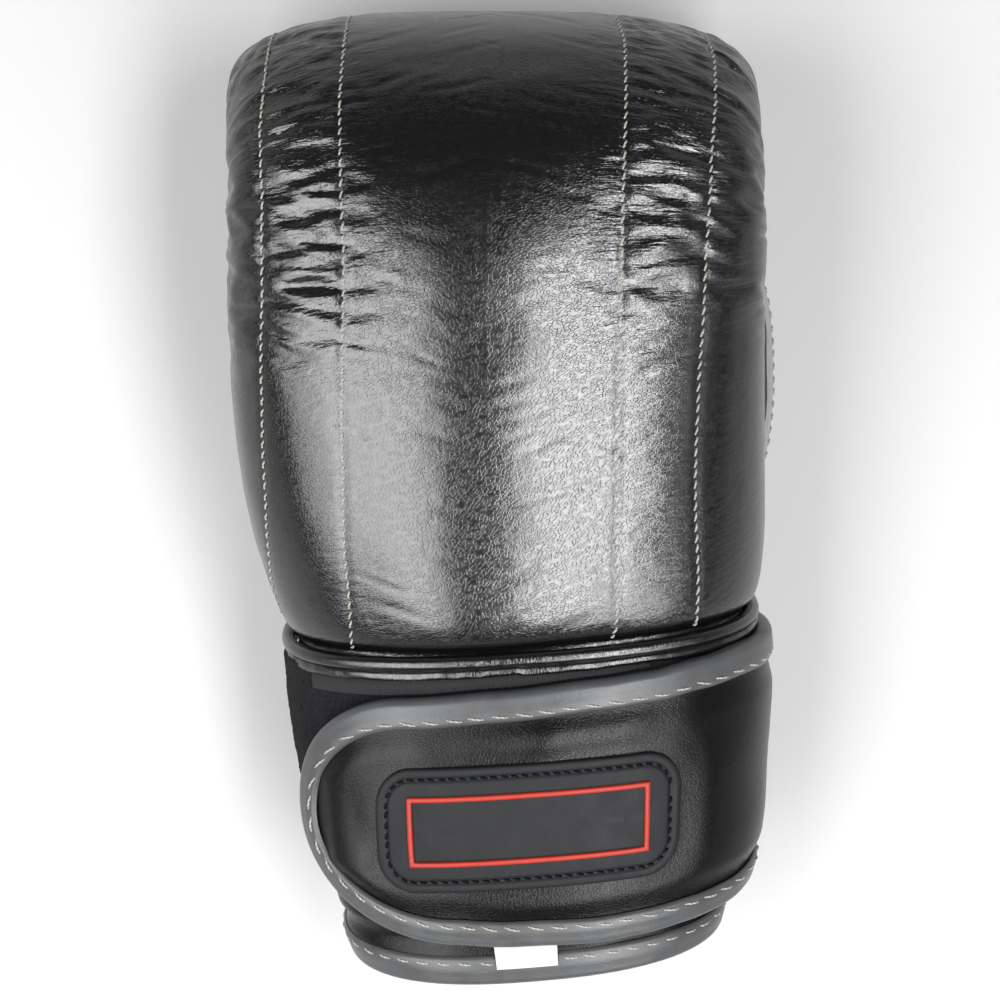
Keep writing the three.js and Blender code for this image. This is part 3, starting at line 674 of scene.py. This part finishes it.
billow = {  # the leather's own simulation, at twenty times its size
    "scale": 20, "step": 1.7, "columns": (36, 13, 40, 13, 36), "frames": 26,
    "pressure": 0.8, "growth": 0.07, "most": (-0.7, 0.9),  # millimetres in and out
    "foldsFrom": (71, 84), "foldsTo": (215, 175),  # little-finger and thumb side, and the roll
    "reach": 18, "spread": 7,  # rows over which the leather's own fullness is evened out
    "cloth": {
        "quality": 5, "mass": 0.3, "tension_stiffness": 60, "compression_stiffness": 60,
        "shear_stiffness": 20, "bending_stiffness": 2.0,
    },
}


def clothLift(rest, out, held, plain):
    # Blender's cloth on a grid of points: it stays where it is held, grows where it isn't
    # plain, and is pushed outwards. It gives how far each point moves along its way out.
    scale = billow["scale"] / 1000
    part = surface(rest)
    mesh = bpy.data.meshes.new("leatherSheet")
    mesh.from_pydata((part["points"] * scale).tolist(), [], part["faces"].tolist())
    facing = np.empty(3 * len(mesh.polygons))
    mesh.polygons.foreach_get("normal", facing)
    if (facing * out[:-1, :-1].ravel()).sum() < 0:
        mesh.flip_normals()  # the pressure follows the faces
    sheet = bpy.data.objects.new("leatherSheet", mesh)
    bpy.context.scene.collection.objects.link(sheet)
    for name, values in (("held", held), ("plain", plain)):
        group = sheet.vertex_groups.new(name=name)
        levels = np.round(values.ravel() * 50).astype(int)
        for level in np.unique(levels):
            group.add(np.flatnonzero(levels == level).tolist(), level / 50, "REPLACE")
    modifier = sheet.modifiers.new("cloth", "CLOTH")
    modifier.collision_settings.use_collision = False
    modifier.point_cache.frame_end = billow["frames"]
    settings = modifier.settings
    for name, value in billow["cloth"].items():
        setattr(settings, name, value)
    settings.vertex_group_mass = "held"
    settings.use_pressure = True
    settings.uniform_pressure_force = billow["pressure"]
    settings.vertex_group_shrink = "plain"
    settings.shrink_max = 0.0
    settings.shrink_min = -billow["growth"]
    settings.effector_weights.gravity = 0
    for number in range(1, billow["frames"] + 1):
        bpy.context.scene.frame_set(number)
    ready = sheet.evaluated_get(bpy.context.evaluated_depsgraph_get()).data
    moved = np.empty(3 * len(ready.vertices))
    ready.vertices.foreach_get("co", moved)
    bpy.context.scene.frame_set(1)
    bpy.data.objects.remove(sheet)
    moved = moved.reshape(rest.shape) / scale - rest
    return (moved * out).sum(-1)


def settledLift():
    # The leather is sewn down at its six lines and is a little too large for the padding
    # over the knuckles. Of its lift only the folds stay, softly held within the most that
    # it may move.
    places, along, turned = padPlaces(billow["step"])
    places, along = np.delete(places, turned), np.delete(along, turned)  # it is there twice
    fine, runs = girthRuns(places)
    seams = seamGirths(places, runs)
    share = [seams[:, k:k + 1] + (seams[:, k + 1:k + 2] - seams[:, k:k + 1])
             * np.linspace(0, 1, n, endpoint=False) for k, n in enumerate(billow["columns"])]
    girth = np.concatenate([*share, seams[:, -1:]], 1)
    angle = anglesAtGirth(fine, runs, girth)
    rows = rowAt(mittRows, places)[:, None]
    rest = onSection(rows, angle)
    out = onSection(rows, angle, 1.0) - rest
    sewn = np.concatenate([[0], np.cumsum(billow["columns"])])
    held = np.zeros(girth.shape)
    held[:, sewn] = 1
    held[[0, 1, -1]] = 1
    start = np.where(girth < 0, *billow["foldsFrom"])
    height = along[:, None]
    knuckles = between(start, start + 24, height) * between(*billow["foldsTo"], height)
    side = 0.15 + 0.85 * between(29, 37, np.abs(girth))
    grow = 0.08 + 0.92 * knuckles * side
    lift = clothLift(rest, out, held, 1 - grow)
    reach = billow["reach"]
    spread = np.arange(-reach, reach + 1)
    weight = np.exp(-(spread / billow["spread"]) ** 2)
    padded = np.pad(lift, ((reach, reach), (0, 0)), mode="edge")
    shifted = (w * padded[reach + k:reach + k + len(lift)] for k, w in zip(spread, weight))
    fullness = sum(shifted) / weight.sum()
    kept = (1 - held) * (0.12 + 0.88 * between(start - 4, start + 16, height))
    lift -= fullness  # the form has its own fullness, so only folds stay
    for _ in range(3):  # folds evened out across the hand
        lift = (np.roll(lift, 1, 1) + 2 * lift + np.roll(lift, -1, 1)) / 4
    lift *= kept
    low, high = billow["most"]
    print("leather settled: lift from", lift.min().round(2), "to", lift.max().round(2))
    if not np.isfinite(lift).all() or lift.max() < 0.1:
        raise RuntimeError("the leather did not settle")
    lift = np.where(lift > 0, high * np.tanh(lift / high), low * np.tanh(lift / low))
    return lift, along, sewn


def padLift(along, girth, seams):
    # Height above the plain form: the settled leather, creases, shallow channels with small
    # tucks beside them, a fuller middle panel near the wrist, soft waves, and edges that turn
    # in to the palm seam.
    settled, sheetAlong, sewn = settledLift()
    row = np.interp(along, sheetAlong, np.arange(len(sheetAlong)))[:, None] + 0 * girth
    apart = 1000.0 * np.arange(len(along))[:, None]
    column = np.interp((girth + apart).ravel(), (seams + apart).ravel(), np.tile(sewn, len(along)))
    lift = atGrid(settled, row, column.reshape(girth.shape))
    along = along[:, None] + 0 * girth
    lift += creaseDepth(girth, along)
    for k in range(1, 5):
        d = girth - seams[:, k:k + 1]
        lift -= pad["channelDepth"] * np.exp(-(d / pad["channelWidth"]) ** 2)
        pitch = noise(along / 9, girth / 9, 20 + k)
        tuck = np.sin(2 * np.pi * along / pad["stitch"]["pitch"] + 2.5 * pitch)
        tuck = pad["tuck"] * tuck * np.exp(-np.abs(d) / pad["tuckReach"])
        lift += tuck * (0.6 + 0.6 * noise(along / 7, d / 5, 30 + k))
    middle = np.clip((girth - seams[:, 2:3]) / (seams[:, 3:4] - seams[:, 2:3]), 0, 1)
    lift += pad["crown"] * (4 * middle * (1 - middle)) ** 2 * between(*pad["crownEnds"], along)
    broad, fine = pad["waves"]
    lift += broad * noise(along / 16, girth / 22, 3) + fine * noise(along / 6, girth / 11, 4)
    edge = np.minimum(girth - girth[:, -1:], girth[:, :1] - girth)
    lift -= pad["lipDepth"] * np.clip(1 - edge / pad["lipReach"], 0, 1) ** 2
    lift *= between(-2, 6, along)
    return lift


def makePad():
    # The top runs from seam to seam. Below it are the hollow's ceiling and then the solid
    # nose. The chart's grain runs round the knuckles' arch.
    places, along, turned = padPlaces(pad["rowStep"])
    fine, runs = girthRuns(places)
    girth = runs[:, 360:361] - runs[:, -1:] * np.linspace(0, 1, pad["columns"] + 1)
    angle = anglesAtGirth(fine, runs, girth)
    rows = rowAt(mittRows, places)[:, None]
    lift = padLift(along, girth, seamGirths(places, runs))
    top = onSection(rows, angle, lift)
    ceiling = onSection(rowAt(hollowRows, places[:turned])[:, None], angle[:turned, ::6][:, ::-1])
    share = (np.arange(pad["under"] + 1) + 0.5) / (pad["under"] + 1)
    belly = np.pi + seamAngle + share * (np.pi - 2 * seamAngle)
    nose = onSection(rows[turned:], belly[None])
    inside = np.concatenate([ceiling, nose])
    right = girth[:, -1:] - 4.0 * np.arange(1, pad["under"] + 3)
    across = np.concatenate([girth, right], 1)
    rise = np.interp(along, [60, 90, 125], [0.26, 0.16, 0.0])[:, None]  # of the grain, one way
    arch = np.interp(along, [90, 130, 170], [0.0, 0.12, 0.35])[:, None]  # and over the knuckles
    grain = along[:, None] - rise * across + arch * np.sqrt(across ** 2 + 100)
    chart = np.stack([across, grain], -1)
    parts = closedRing(top, inside, half=pad["columns"], chart=chart)
    piece = makePiece("padLeather", parts, [glossHide], "back_pad")
    return top, places, girth


padTop, padAt, padGirth = makePad()
print("pad made")


def makePadStitches():
    # The seams' places are read off the finished pad, between its columns
    lines = []
    out = np.cross(np.gradient(padTop, axis=1), np.gradient(padTop, axis=0))
    out /= -np.linalg.norm(out, axis=-1, keepdims=True)
    for line in padLines:
        wanted = np.interp(padAt, *np.array(line).T)
        column = (padGirth[:, 0] - wanted) / (padGirth[:, 0] - padGirth[:, -1]) * pad["columns"]
        shown = (padAt > line[0][0]) & (padAt < 15.5)
        i = np.flatnonzero(shown)
        j = np.floor(column[i]).astype(int)
        f = (column[i] - j)[:, None]
        points = padTop[i, j] * (1 - f) + padTop[i, j + 1] * f
        ways = out[i, j] * (1 - f) + out[i, j + 1] * f
        if ways[len(ways) // 3, 2] < 0:
            ways = -ways
        lines.append((points, ways))
    sew("padStitches", lines, pad["stitch"])


makePadStitches()


palm = {"grid": (150, 91), "turnIn": (1.7, 4.5), "ends": (1.2, 4), "wave": 0.5}  # (depth, width)


def makePalm():
    # The palm side of the mitt below the seam, up to the hollow's end, its edges turned in
    places = np.linspace(0, hollowEnd, palm["grid"][0])
    belly = np.linspace(np.pi + seamAngle, 2 * np.pi - seamAngle, palm["grid"][1])
    number = np.arange(palm["grid"][1])
    edge = np.minimum(number, number[::-1]) * 1.6  # the columns are about 1.6 mm apart
    ends = np.minimum(places, hollowEnd - places)[:, None] * 12  # and the rows' places 12 mm
    (turnIn, turnWidth), (endDepth, endWidth) = palm["turnIn"], palm["ends"]
    lift = (-turnIn * np.clip(1 - edge / turnWidth, 0, 1) ** 2
            - endDepth * np.clip(1 - ends / endWidth, 0, 1) ** 2)
    lift = lift + palm["wave"] * noise(places[:, None] * 1.3, number[None] / 9, 11)
    outer = onSection(rowAt(mittRows, places)[:, None], belly[None], lift)
    inner = onSection(rowAt(hollowRows, places)[:, None], belly[None, ::-1])
    makePiece("palmLeather", closedRing(outer, inner), [palmHide], "palm_panel")


thumb = {
    "columns": 96, "seam": (0.9, 1.6), "girth": 14, "wave": 0.5,  # seam depth and width
    "strip": (2, 6.1), "stripHalf": 3.0, "stripRise": (0.3, 1.2),
}


def makeThumb():
    # A stall of two panels whose seams are soft valleys above and below, closed by a pole
    tip = 7 - 0.94 * np.cos(np.linspace(0, np.pi / 2, 14))[1:]
    places = np.concatenate([np.linspace(0, 6, 76), tip])
    cols = thumb["columns"]
    angles = np.linspace(0, 2 * np.pi, cols, endpoint=False)
    depth, width = thumb["seam"]
    upper, lower = (np.abs(np.angle(np.exp(1j * (angles + seam)))) * thumb["girth"]
                    for seam in (-np.pi / 2, np.pi / 2))
    valley = -depth * (np.exp(-(upper / width) ** 2) + np.exp(-(lower / width) ** 2))
    wave = thumb["wave"] * noise(places[:, None] * 2.2, angles[None] * 2.2, 12)
    points = onSection(rowAt(thumbRows, places)[:, None], angles[None], valley[None] + wave)
    pole = points[-1].mean(0) + [0, 1.2, 0]
    points = np.concatenate([points, np.broadcast_to(pole, (1, cols, 3))])
    part = surface(points, ring=True)
    root = cap(part, np.arange(cols // 2), np.arange(cols // 2, cols)[::-1])
    piece = makePiece("thumbStall", [part, root], [palmHide], "thumb_stall")


def makeThumbBinding():
    # A crowned strip along the stall's outer side, sewn along its middle
    rows = rowAt(thumbRows, np.linspace(*thumb["strip"], 90))
    bulge = np.linspace(-1, 1, 13)
    half, (low, rise) = thumb["stripHalf"], thumb["stripRise"]
    top = onSection(rows[:, None], bulge * half / rows[:, 7:8],
                    low + rise * np.sqrt(1 - 0.75 * bulge ** 4))
    under = onSection(rows[:, None], bulge[::-1] * half / rows[:, 7:8], -0.4)
    makePiece("thumbBinding", closedRing(top, under), [paleTape], "thumb_binding")
    up = onSection(rows, 0.0, 2.4) - onSection(rows, 0.0, 1.4)
    sew("thumbStitches", [(onSection(rows, 0.1, 1.5), up)], {
        "pitch": 3.4, "length": 2.7, "radius": 0.3, "slant": 0.1, "seed": 9})


makePalm()
makeThumb()
makeThumbBinding()
print("palm and thumb made")

cuff = {
    "grid": (340, 60), "rim": (1.2, 2.5), "wave": 0.4,  # rim depth and width
    "fold": 0.7, "foldPitch": 9, "foldsEnd": (32, 18), "wander": 2.2,
}


def makeCuff():
    # A flat-sided ring with rounded rims and soft cross folds, open under the wrist
    arounds = np.linspace(wrist["slit"][1] - cuffGirth, wrist["slit"][0], cuff["grid"][0])
    along = np.linspace(0.0, wrist["length"], cuff["grid"][1])
    rim = np.minimum(along, wrist["length"] - along)
    outer = -cuff["rim"][0] * np.clip(1 - rim / cuff["rim"][1], 0, 1) ** 2
    wander = cuff["wander"] * noise(arounds[:, None] / 30, along[None] / 40, 42)
    fold = cuff["wave"] * noise(arounds[:, None] / 14, along[None] / 9, 41)
    turn = 2 * np.pi * (along[None] + wander - 16) / cuff["foldPitch"]
    fold += cuff["fold"] * np.cos(turn) * between(*cuff["foldsEnd"], along[None])
    top = onCuff(arounds[:, None], along[None], outer[None] + fold * between(0, 8, rim) - 0.3)
    bottom = onCuff(arounds[:, None], along[None, ::-1], -wrist["wall"] - 0.3 * fold[:, ::-1])
    parts = closedRing(top, bottom)
    column = parts[0]["faces"] % (2 * len(along))
    parts[0]["material"] = (column.min(1) >= len(along)).astype(int)  # lined inside
    piece = makePiece("cuffBand", parts, [strapHide, lining], "cuff")


def channel(low, high, width, wall, bulge=0.5):
    # A folded tape: its outer face runs in a round bend over the edge and back under it
    gap = wrist["gap"]
    middle, half = (low + high) / 2, (high - low) / 2 + gap + wall
    bend = np.linspace(np.pi / 2, 3 * np.pi / 2, 15)
    edge = np.stack([1.2 + 2.4 * np.sign(np.cos(bend)) * np.abs(np.cos(bend)) ** 0.8,
                     middle + half * np.sign(np.sin(bend)) * np.abs(np.sin(bend)) ** 0.8], 1)
    flat = np.linspace(width, 2.2, 7)
    crown = wall * bulge * np.sin(np.pi * (flat - 1.2) / (width - 1.2)) - 0.5 * (flat == width)
    over = np.stack([flat, middle + half + crown - 0.15], 1)
    under = np.stack([flat[::-1], middle - half + 0 * flat], 1)
    inner = np.array([[width, low - gap], [-gap + 0.3, low - gap], [-gap + 0.3, high + gap],
                      [width, high + gap]])
    return np.concatenate([over, edge, under, inner])


def sweep(path, profile):
    # A closed profile of (inwards, lift) points carried along a path on the wrist
    inwards, lift = profile.T
    around = path[:, None, 0] + inwards * path[:, None, 2]
    along = path[:, None, 1] + inwards * path[:, None, 3]
    return closedRing(onCuff(around, along, lift[None] + 0 * around), swap=True)


hem = {
    "width": 7.6, "wall": 0.9, "seam": (5.8, 1.3),  # stitches inwards of the edge, and lift
    "stitch": {"pitch": 5.4, "length": 3.9, "radius": 0.26, "slant": 0.14, "seed": 21},
}


def makeHem():
    # The tape runs round the hem from one side of the slit to the other
    arounds = np.linspace(wrist["slit"][0], wrist["slit"][1] - cuffGirth, 320)
    path = np.column_stack([arounds, 0 * arounds, 0 * arounds, 1 + 0 * arounds])
    profile = channel(-wrist["wall"], 0, hem["width"], hem["wall"])
    makePiece("hemTape", sweep(path, profile), [greyTape], "hem_binding")
    sew("hemStitches", [alongCuff(path, *hem["seam"])], hem["stitch"])


cords = {  # along the cuff, lift, radius, height over width, and how uneven
    "upper": (82.0, 1.9, 1.75, 1.0, 0), "lower": (79.5, 2.1, 1.35, 0.9, 1),
}


def makeSeamRoll():
    # Two cords of leather side by side, the lower one flatter and uneven
    arounds = np.linspace(0, -cuffGirth, 420, endpoint=False)
    turn = np.linspace(0, 2 * np.pi, 20, endpoint=False)
    uneven = (0.3 * noise(arounds / 12, 0 * arounds, 51)
              + 0.16 * noise(arounds / 3, 0 * arounds, 52))[:, None]
    parts = []
    for along, lift, radius, rise, share in cords.values():
        x = along + uneven * share + radius * np.cos(turn)[None] + 0 * arounds[:, None]
        y = lift + (radius * rise + uneven * share) * np.sin(turn)[None]
        parts.append(surface(onCuff(arounds[:, None], x, y), ring=True, joined=True))
    makePiece("seamRoll", parts, [glossHide], "seam_roll")


patch = {
    "around": (-84, 46), "along": (24, 80.4), "grid": (230, 100), "fuzz": 0.09, "wave": 0.12,
    "rim": (0.9, 1.2), "bulge": 1.5,  # the bulge is beside the strap's rounded end
}


def makePatch():
    # A sheet of loop pile with a rounded rim, its face a fine random fuzz
    low, high = wrist["patch"]
    (left, right), (lower, upper) = patch["around"], patch["along"]
    arounds = np.linspace(left, right, patch["grid"][0])
    alongs = np.linspace(lower, upper, patch["grid"][1])
    fuzz = (np.random.default_rng(5).normal(0, patch["fuzz"], patch["grid"])
            + patch["wave"] * noise(arounds[:, None] / 2, alongs[None] / 2, 6))
    rim = np.minimum(np.minimum(arounds - left, right - arounds)[:, None],
                     np.minimum(alongs - lower, upper - alongs))
    beside = between(-57, -66, arounds) * between(-84, -76, arounds)
    bulge = patch["bulge"] * beside[:, None] * between(46, 70, alongs)
    face = high + fuzz + bulge - patch["rim"][0] * np.clip(1 - rim / patch["rim"][1], 0, 1) ** 2
    top = onCuff(arounds[:, None], alongs[None], face)
    bottom = onCuff(arounds[:, None], alongs[None, ::-1], low)
    makePiece("loopPatch", closedRing(top, bottom), [loopPile], "loop_patch",
              sharp=180)


tape = {"around": (-56, 32), "step": 0.23, "along": (74.8, 80.4), "rib": 1.15, "ribHeight": 0.3}


def makeTape():
    # Ribs across the tape, each a half sine. It tucks under the cord and at its right end.
    low, high = wrist["tape"]
    arounds = np.arange(*tape["around"], tape["step"])
    edge = np.maximum(tape["along"][0], strapEdge("high", arounds) + 1.5)
    share = np.linspace(0, 1, 9)
    alongs = edge[:, None] + (tape["along"][1] - edge)[:, None] * share
    rib = tape["ribHeight"] * np.abs(np.sin(np.pi * arounds / tape["rib"]))[:, None]
    tuck = 0.2 + 1.4 * between(77.4, 79.6, alongs) + 0.6 * between(22, 32, arounds)[:, None]
    top = onCuff(arounds[:, None], alongs, high - tuck + rib * np.sin(np.pi * (0.1 + 0.8 * share)))
    bottom = onCuff(arounds[:, None], alongs[:, ::-1], low - tuck[:, ::-1])
    makePiece("ribbedTape", closedRing(top, bottom), [grosgrain], "patch_tape",
              sharp=75)


strap = {
    "rows": np.array([  # round from the middle of the back, and its lower and upper edge
        [-28, 15.2, 73.5], [-4, 13.6, 74.4], [18, 12.8, 75.5], [31, 13.2, 76.0],
        [44, 13.8, 77.1], [57, 14.3, 77.8], [70, 15.2, 77.5], [92, 17.0, 76.6],
        [130, 16.5, 75.0], [178, 16.0, 73.0],
    ]),
    "tip": -61.5, "middle": 43, "upperFrom": -28, "lowerFrom": -20, "root": 178,
    "grip": 5.9, "wall": 0.9, "puff": 1.8, "wave": 0.7,
    "gathers": ((-42, 0.5), (-27, 0.5), (5, 1.0), (41, 0.6)),  # round from the back, and height
    "seam": (4.3, 7.55),
    "stitch": {"pitch": 5.8, "length": 4.2, "radius": 0.27, "slant": 0.2, "seed": 31},
}
badge = {
    "around": 0.5, "along": 43.3, "halfLength": 37.9, "halfWidth": 15.3, "corner": 9.0,
    "points": (30, 10, 12), "square": 0.0028,  # points on long sides, short sides and corners
    "groove": 2.75,
    "stitch": {"pitch": 2.6, "length": 2.0, "radius": 0.3, "slant": 0.2, "seed": 41},
}


def strapEdge(side, around):
    # Eased between the rows, and a quarter ellipse round the rounded end
    around = np.asarray(around, float)
    start = strap["upperFrom"] if side == "high" else strap["lowerFrom"]
    places, values = strap["rows"][:, 0], strap["rows"][:, 2 if side == "high" else 1]
    at = np.maximum(around, start)
    k = np.clip(np.searchsorted(places, at), 1, len(places) - 1)
    share = between(places[k - 1], places[k], at)
    straight = values[k - 1] + (values[k] - values[k - 1]) * share
    past = np.maximum(0, start - around) / (start - strap["tip"])
    return strap["middle"] + (straight - strap["middle"]) * np.sqrt(np.maximum(0, 1 - past ** 2))


def strapArounds(bend, straight):
    # Places round the wrist: the rounded end at the angles of bend, then evenly to the root
    end = strap["upperFrom"] - (strap["upperFrom"] - strap["tip"]) * np.sin(bend)
    return np.concatenate([end, np.linspace(strap["upperFrom"], strap["root"], straight)[1:]])


def fromBadge(around, along):
    # Distance outside the badge's rounded outline, negative inside
    x = np.abs(around - badge["around"]) - badge["halfLength"] + badge["corner"]
    y = np.abs(along - badge["along"]) - badge["halfWidth"] + badge["corner"]
    outside = np.hypot(np.maximum(x, 0), np.maximum(y, 0))
    return outside + np.minimum(np.maximum(x, y), 0) - badge["corner"]


def makeStrap():
    # Padded between its bindings, less so under the badge, with low gathers below the upper
    # binding, and uneven between them
    arounds = strapArounds(np.linspace(np.pi / 2, 0, 50)[1:], 230)
    low, high = strapEdge("low", arounds)[:, None], strapEdge("high", arounds)[:, None]
    share = np.linspace(0, 1, 73)
    share = share - 0.25 * np.sin(2 * np.pi * share) / (2 * np.pi)
    alongs = low + (high - low) * share
    around = arounds[:, None] + 0 * alongs
    edge = np.minimum(np.minimum(alongs - low, high - alongs), around - strap["tip"])
    out = fromBadge(around, alongs)
    puff = strap["puff"] * between(4.8, 13, edge) * (0.45 + 0.55 * between(-1, 10, out))
    below = high - alongs
    for place, height in strap["gathers"]:
        puff += height * np.exp(-((around - place) / 7) ** 2 - ((below - 11) / 6) ** 2)
    wave = strap["wave"] * noise(around / 22, alongs / 16, 62)
    puff += wave * between(5, 11, edge) * between(0, 7, out)
    top = onCuff(around, alongs, wrist["strapTop"] - 0.05 + puff)
    bottom = onCuff(around[:, ::-1], alongs[:, ::-1], wrist["strapUnder"])
    piece = makePiece("strapLeather", closedRing(top, bottom), [strapHide], "wrist_strap",
                      level=0.25)


def makeStrapBinding():
    # The tape runs along the lower edge, round the end and back along the upper edge; a
    # path's row is its place on the wrist and its inward way, to the right of travel
    arounds = strapArounds(np.linspace(np.pi / 2, 0, 46), 200)
    lower, upper = (np.column_stack([arounds, strapEdge(side, arounds)]) for side in ("low", "high"))
    points = np.concatenate([lower[:0:-1], upper])
    run = runAlong(points)
    even = np.linspace(0, run[-1], 560)
    points = np.column_stack([np.interp(even, run, points[:, k]) for k in (0, 1)])
    travel = np.gradient(points, axis=0)
    travel /= np.linalg.norm(travel, axis=1, keepdims=True)
    path = np.column_stack([points, travel[:, 1], -travel[:, 0]])
    profile = channel(wrist["strapUnder"], wrist["strapTop"], strap["grip"], strap["wall"])
    makePiece("strapTape", sweep(path, profile), [greyTape], "strap_binding")
    sew("strapStitches", [alongCuff(path, *strap["seam"])], strap["stitch"])


def roundedOutline(inset):
    # A rounded rectangle drawn in by inset: a corner's quarter circle, then the side after it
    length, width = badge["halfLength"] - inset, badge["halfWidth"] - inset
    corner = max(badge["corner"] - inset, 0.4 * width)
    long, short, bend = badge["points"]
    quarter = np.linspace(0, np.pi / 2, bend, endpoint=False)
    centres = np.array([(1, 1), (-1, 1), (-1, -1), (1, -1)]) * (length - corner, width - corner)
    points = []
    for k in range(4):
        turn, last = quarter + k * np.pi / 2, (k + 1) * np.pi / 2
        points.append(centres[k] + corner * np.stack([np.cos(turn), np.sin(turn)], 1))
        out = corner * np.array([np.cos(last), np.sin(last)])
        ahead, after = centres[k] + out, centres[(k + 1) % 4] + out
        share = np.linspace(0, 1, (long, short)[k % 2], endpoint=False)[:, None]
        points.append(ahead + (after - ahead) * share)
    return np.concatenate(points)


def onBadge(places, lift):
    # Places from the badge's middle; it lies square although the cuff widens towards the hand
    x, y = places[..., 0], places[..., 1]
    around = badge["around"] + x - badge["square"] * np.minimum(x, 0) * y
    return onCuff(around, badge["along"] + y, lift)


def makeBadge():
    # Rings drawn in from the outline: a rounded rim, a sewn groove, and a flat field
    low, high = wrist["badge"]
    profile = np.array([  # inset and lift
        (0.25, low), (0.0, low + 0.3), (0.0, high - 0.7), (0.15, high - 0.3), (0.45, high - 0.06),
        (0.9, high + 0.05), (1.6, high + 0.05), (2.1, high - 0.05), (2.4, high - 0.4),
        (2.75, high - 0.5), (3.1, high - 0.4), (3.4, high - 0.1), (4.0, high - 0.05),
        (5.5, high - 0.05), (8, high - 0.05), (11, high - 0.05), (14.5, high - 0.05),
    ])
    points = np.stack([onBadge(roundedOutline(inset), lift) for inset, lift in profile])
    part = surface(points, ring=True)
    cols = points.shape[1]
    loop = np.roll(np.arange(cols), 5)  # from the middle of the thumb side
    caps = [cap(part, base + loop[:cols // 2], base + loop[cols // 2:][::-1])
            for base in (0, (len(profile) - 1) * cols)]
    makePiece("badgeRubber", [part, *caps], [greyRubber], "badge_plate", sharp=70)
    groove = roundedOutline(badge["groove"])
    groove = np.concatenate([groove, groove[:1]])
    line, above = onBadge(groove, high - 0.42), onBadge(groove, high + 0.58)
    sew("badgeStitches", [(line, above - line)], badge["stitch"], blackThread)


frameLine = {"half": np.array([29.7, 8.6]), "points": (12, 40)}  # points on a short and long side


def makeFrameLine():
    # A raised line round a plain rectangle, its corners mitred and its top slightly round
    half, (short, long) = frameLine["half"], frameLine["points"]
    corners = np.array([(-1, -1), (-1, 1), (1, 1), (1, -1), (-1, -1)]) * half
    run = np.concatenate([
        np.linspace(a, b, n, endpoint=False)
        for a, b, n in zip(corners[:-1], corners[1:], (short, long, short, long))])
    low, high = wrist["line"]
    profile = np.array([  # inset and lift
        (0.1, low - 0.5), (0.1, high - 0.2), (0.3, high), (0.7, high + 0.08), (1.1, high),
        (1.3, high - 0.2), (1.3, low - 0.5)])
    scale = 1 - profile[:, 0][None, :, None] / half
    part = surface(onBadge(run[:, None] * scale, profile[None, :, 1]), ring=True, joined=True)
    makePiece("frameLine", [part], [redRubber], "badge_frame", sharp=60)


tab = {"around": (-12, 6.5), "along": (22, 4.6), "lift": 1.75, "half": 0.2}


def makeTab():
    # A short satin tape from under the strap, which hangs over the hem tape and lifts a
    # little at its end
    arounds, alongs = np.linspace(*tab["around"], 40), np.linspace(*tab["along"], 50)
    lift = tab["lift"] + 0.25 * between(9, 5, alongs) + 0.12 * noise(alongs / 5, 0 * alongs, 71)
    top = onCuff(arounds[:, None], alongs[None], lift[None] + tab["half"])
    bottom = onCuff(arounds[:, None], alongs[None, ::-1], lift[None, ::-1] - tab["half"])
    piece = makePiece("sizeTab", closedRing(top, bottom), [satin], "size_tab",
                      sharp=60)


makeCuff()
makeHem()
makeSeamRoll()
makePatch()
makeTape()
makeStrap()
makeStrapBinding()
makeBadge()
makeFrameLine()
makeTab()
print("wrist made")


studio = {
    "cameraHeight": 0.84, "across": 0.26, "focusHeight": 0.04,  # metres
    "sensor": 36, "lampHeight": 0.95,
    "boxes": [  # west, east, south and north edges in metres, and radiance
        (-0.75, -0.24, -1.1, 0.2, 9.8),
        (-1.5, -0.75, -1.1, 0.2, 5.0),
        (0.19, 0.47, -1.0, 0.22, 18.0),
        (0.47, 1.4, -0.62, 0.2, 0.8),
        (0.47, 1.1, -1.3, -0.62, 8.0),
    ],
    "horizon": 1.0, "overhead": 0.08,
}


def makeStage():
    # A white sheet, flat soft boxes overhead beside the camera, and a sky that is white
    # at the horizon and dark above it
    bpy.ops.mesh.primitive_plane_add(size=8)
    floor = bpy.context.object
    floor.name = "floor"
    paint = newMaterial("matt white paper", {
        "Roughness": 0.9, "Specular IOR Level": 0.2, "Base Color": linear("#a8a8a8")})
    floor.data.materials.append(paint)
    floor.location.z = -0.0002
    for west, east, south, north, radiance in studio["boxes"]:
        lamp = bpy.data.lights.new("softBox", "AREA")
        lamp.shape, lamp.size, lamp.size_y = "RECTANGLE", east - west, north - south
        lamp.energy = radiance * np.pi * lamp.size * lamp.size_y
        box = bpy.data.objects.new("softBox", lamp)
        box.location = (west + east) / 2, (south + north) / 2, studio["lampHeight"]
        bpy.context.scene.collection.objects.link(box)
    world = bpy.data.worlds.new("studio")
    bpy.context.scene.world = world
    world.use_nodes = True
    background = world.node_tree.nodes["Background"]
    way = addNode(world, "TexCoord", out="Generated")
    height = addNode(world, "SeparateXYZ", {0: way}, "Z")
    light = addNode(world, "MapRange", {0: height, 1: 0.1, 2: 0.35, 3: studio["horizon"],
                                        4: studio["overhead"]}, interpolation_type="SMOOTHSTEP")
    world.node_tree.links.new(light, background.inputs["Strength"])
    background.inputs["Color"].default_value = (1, 1, 1, 1)
    bpy.context.scene.view_settings.view_transform = "Standard"


def makeCamera():
    # Straight down, and as wide as across at the focus height
    data = bpy.data.cameras.new("camera")
    camera = bpy.data.objects.new("camera", data)
    bpy.context.scene.collection.objects.link(camera)
    data.sensor_width = studio["sensor"]
    data.lens = studio["sensor"] * (studio["cameraHeight"] - studio["focusHeight"]) / studio["across"]
    camera.location = (frameShift[0] / 1000, frameShift[1] / 1000, studio["cameraHeight"])
    bpy.context.scene.camera = camera


makeStage()
makeCamera()
print("stage set")
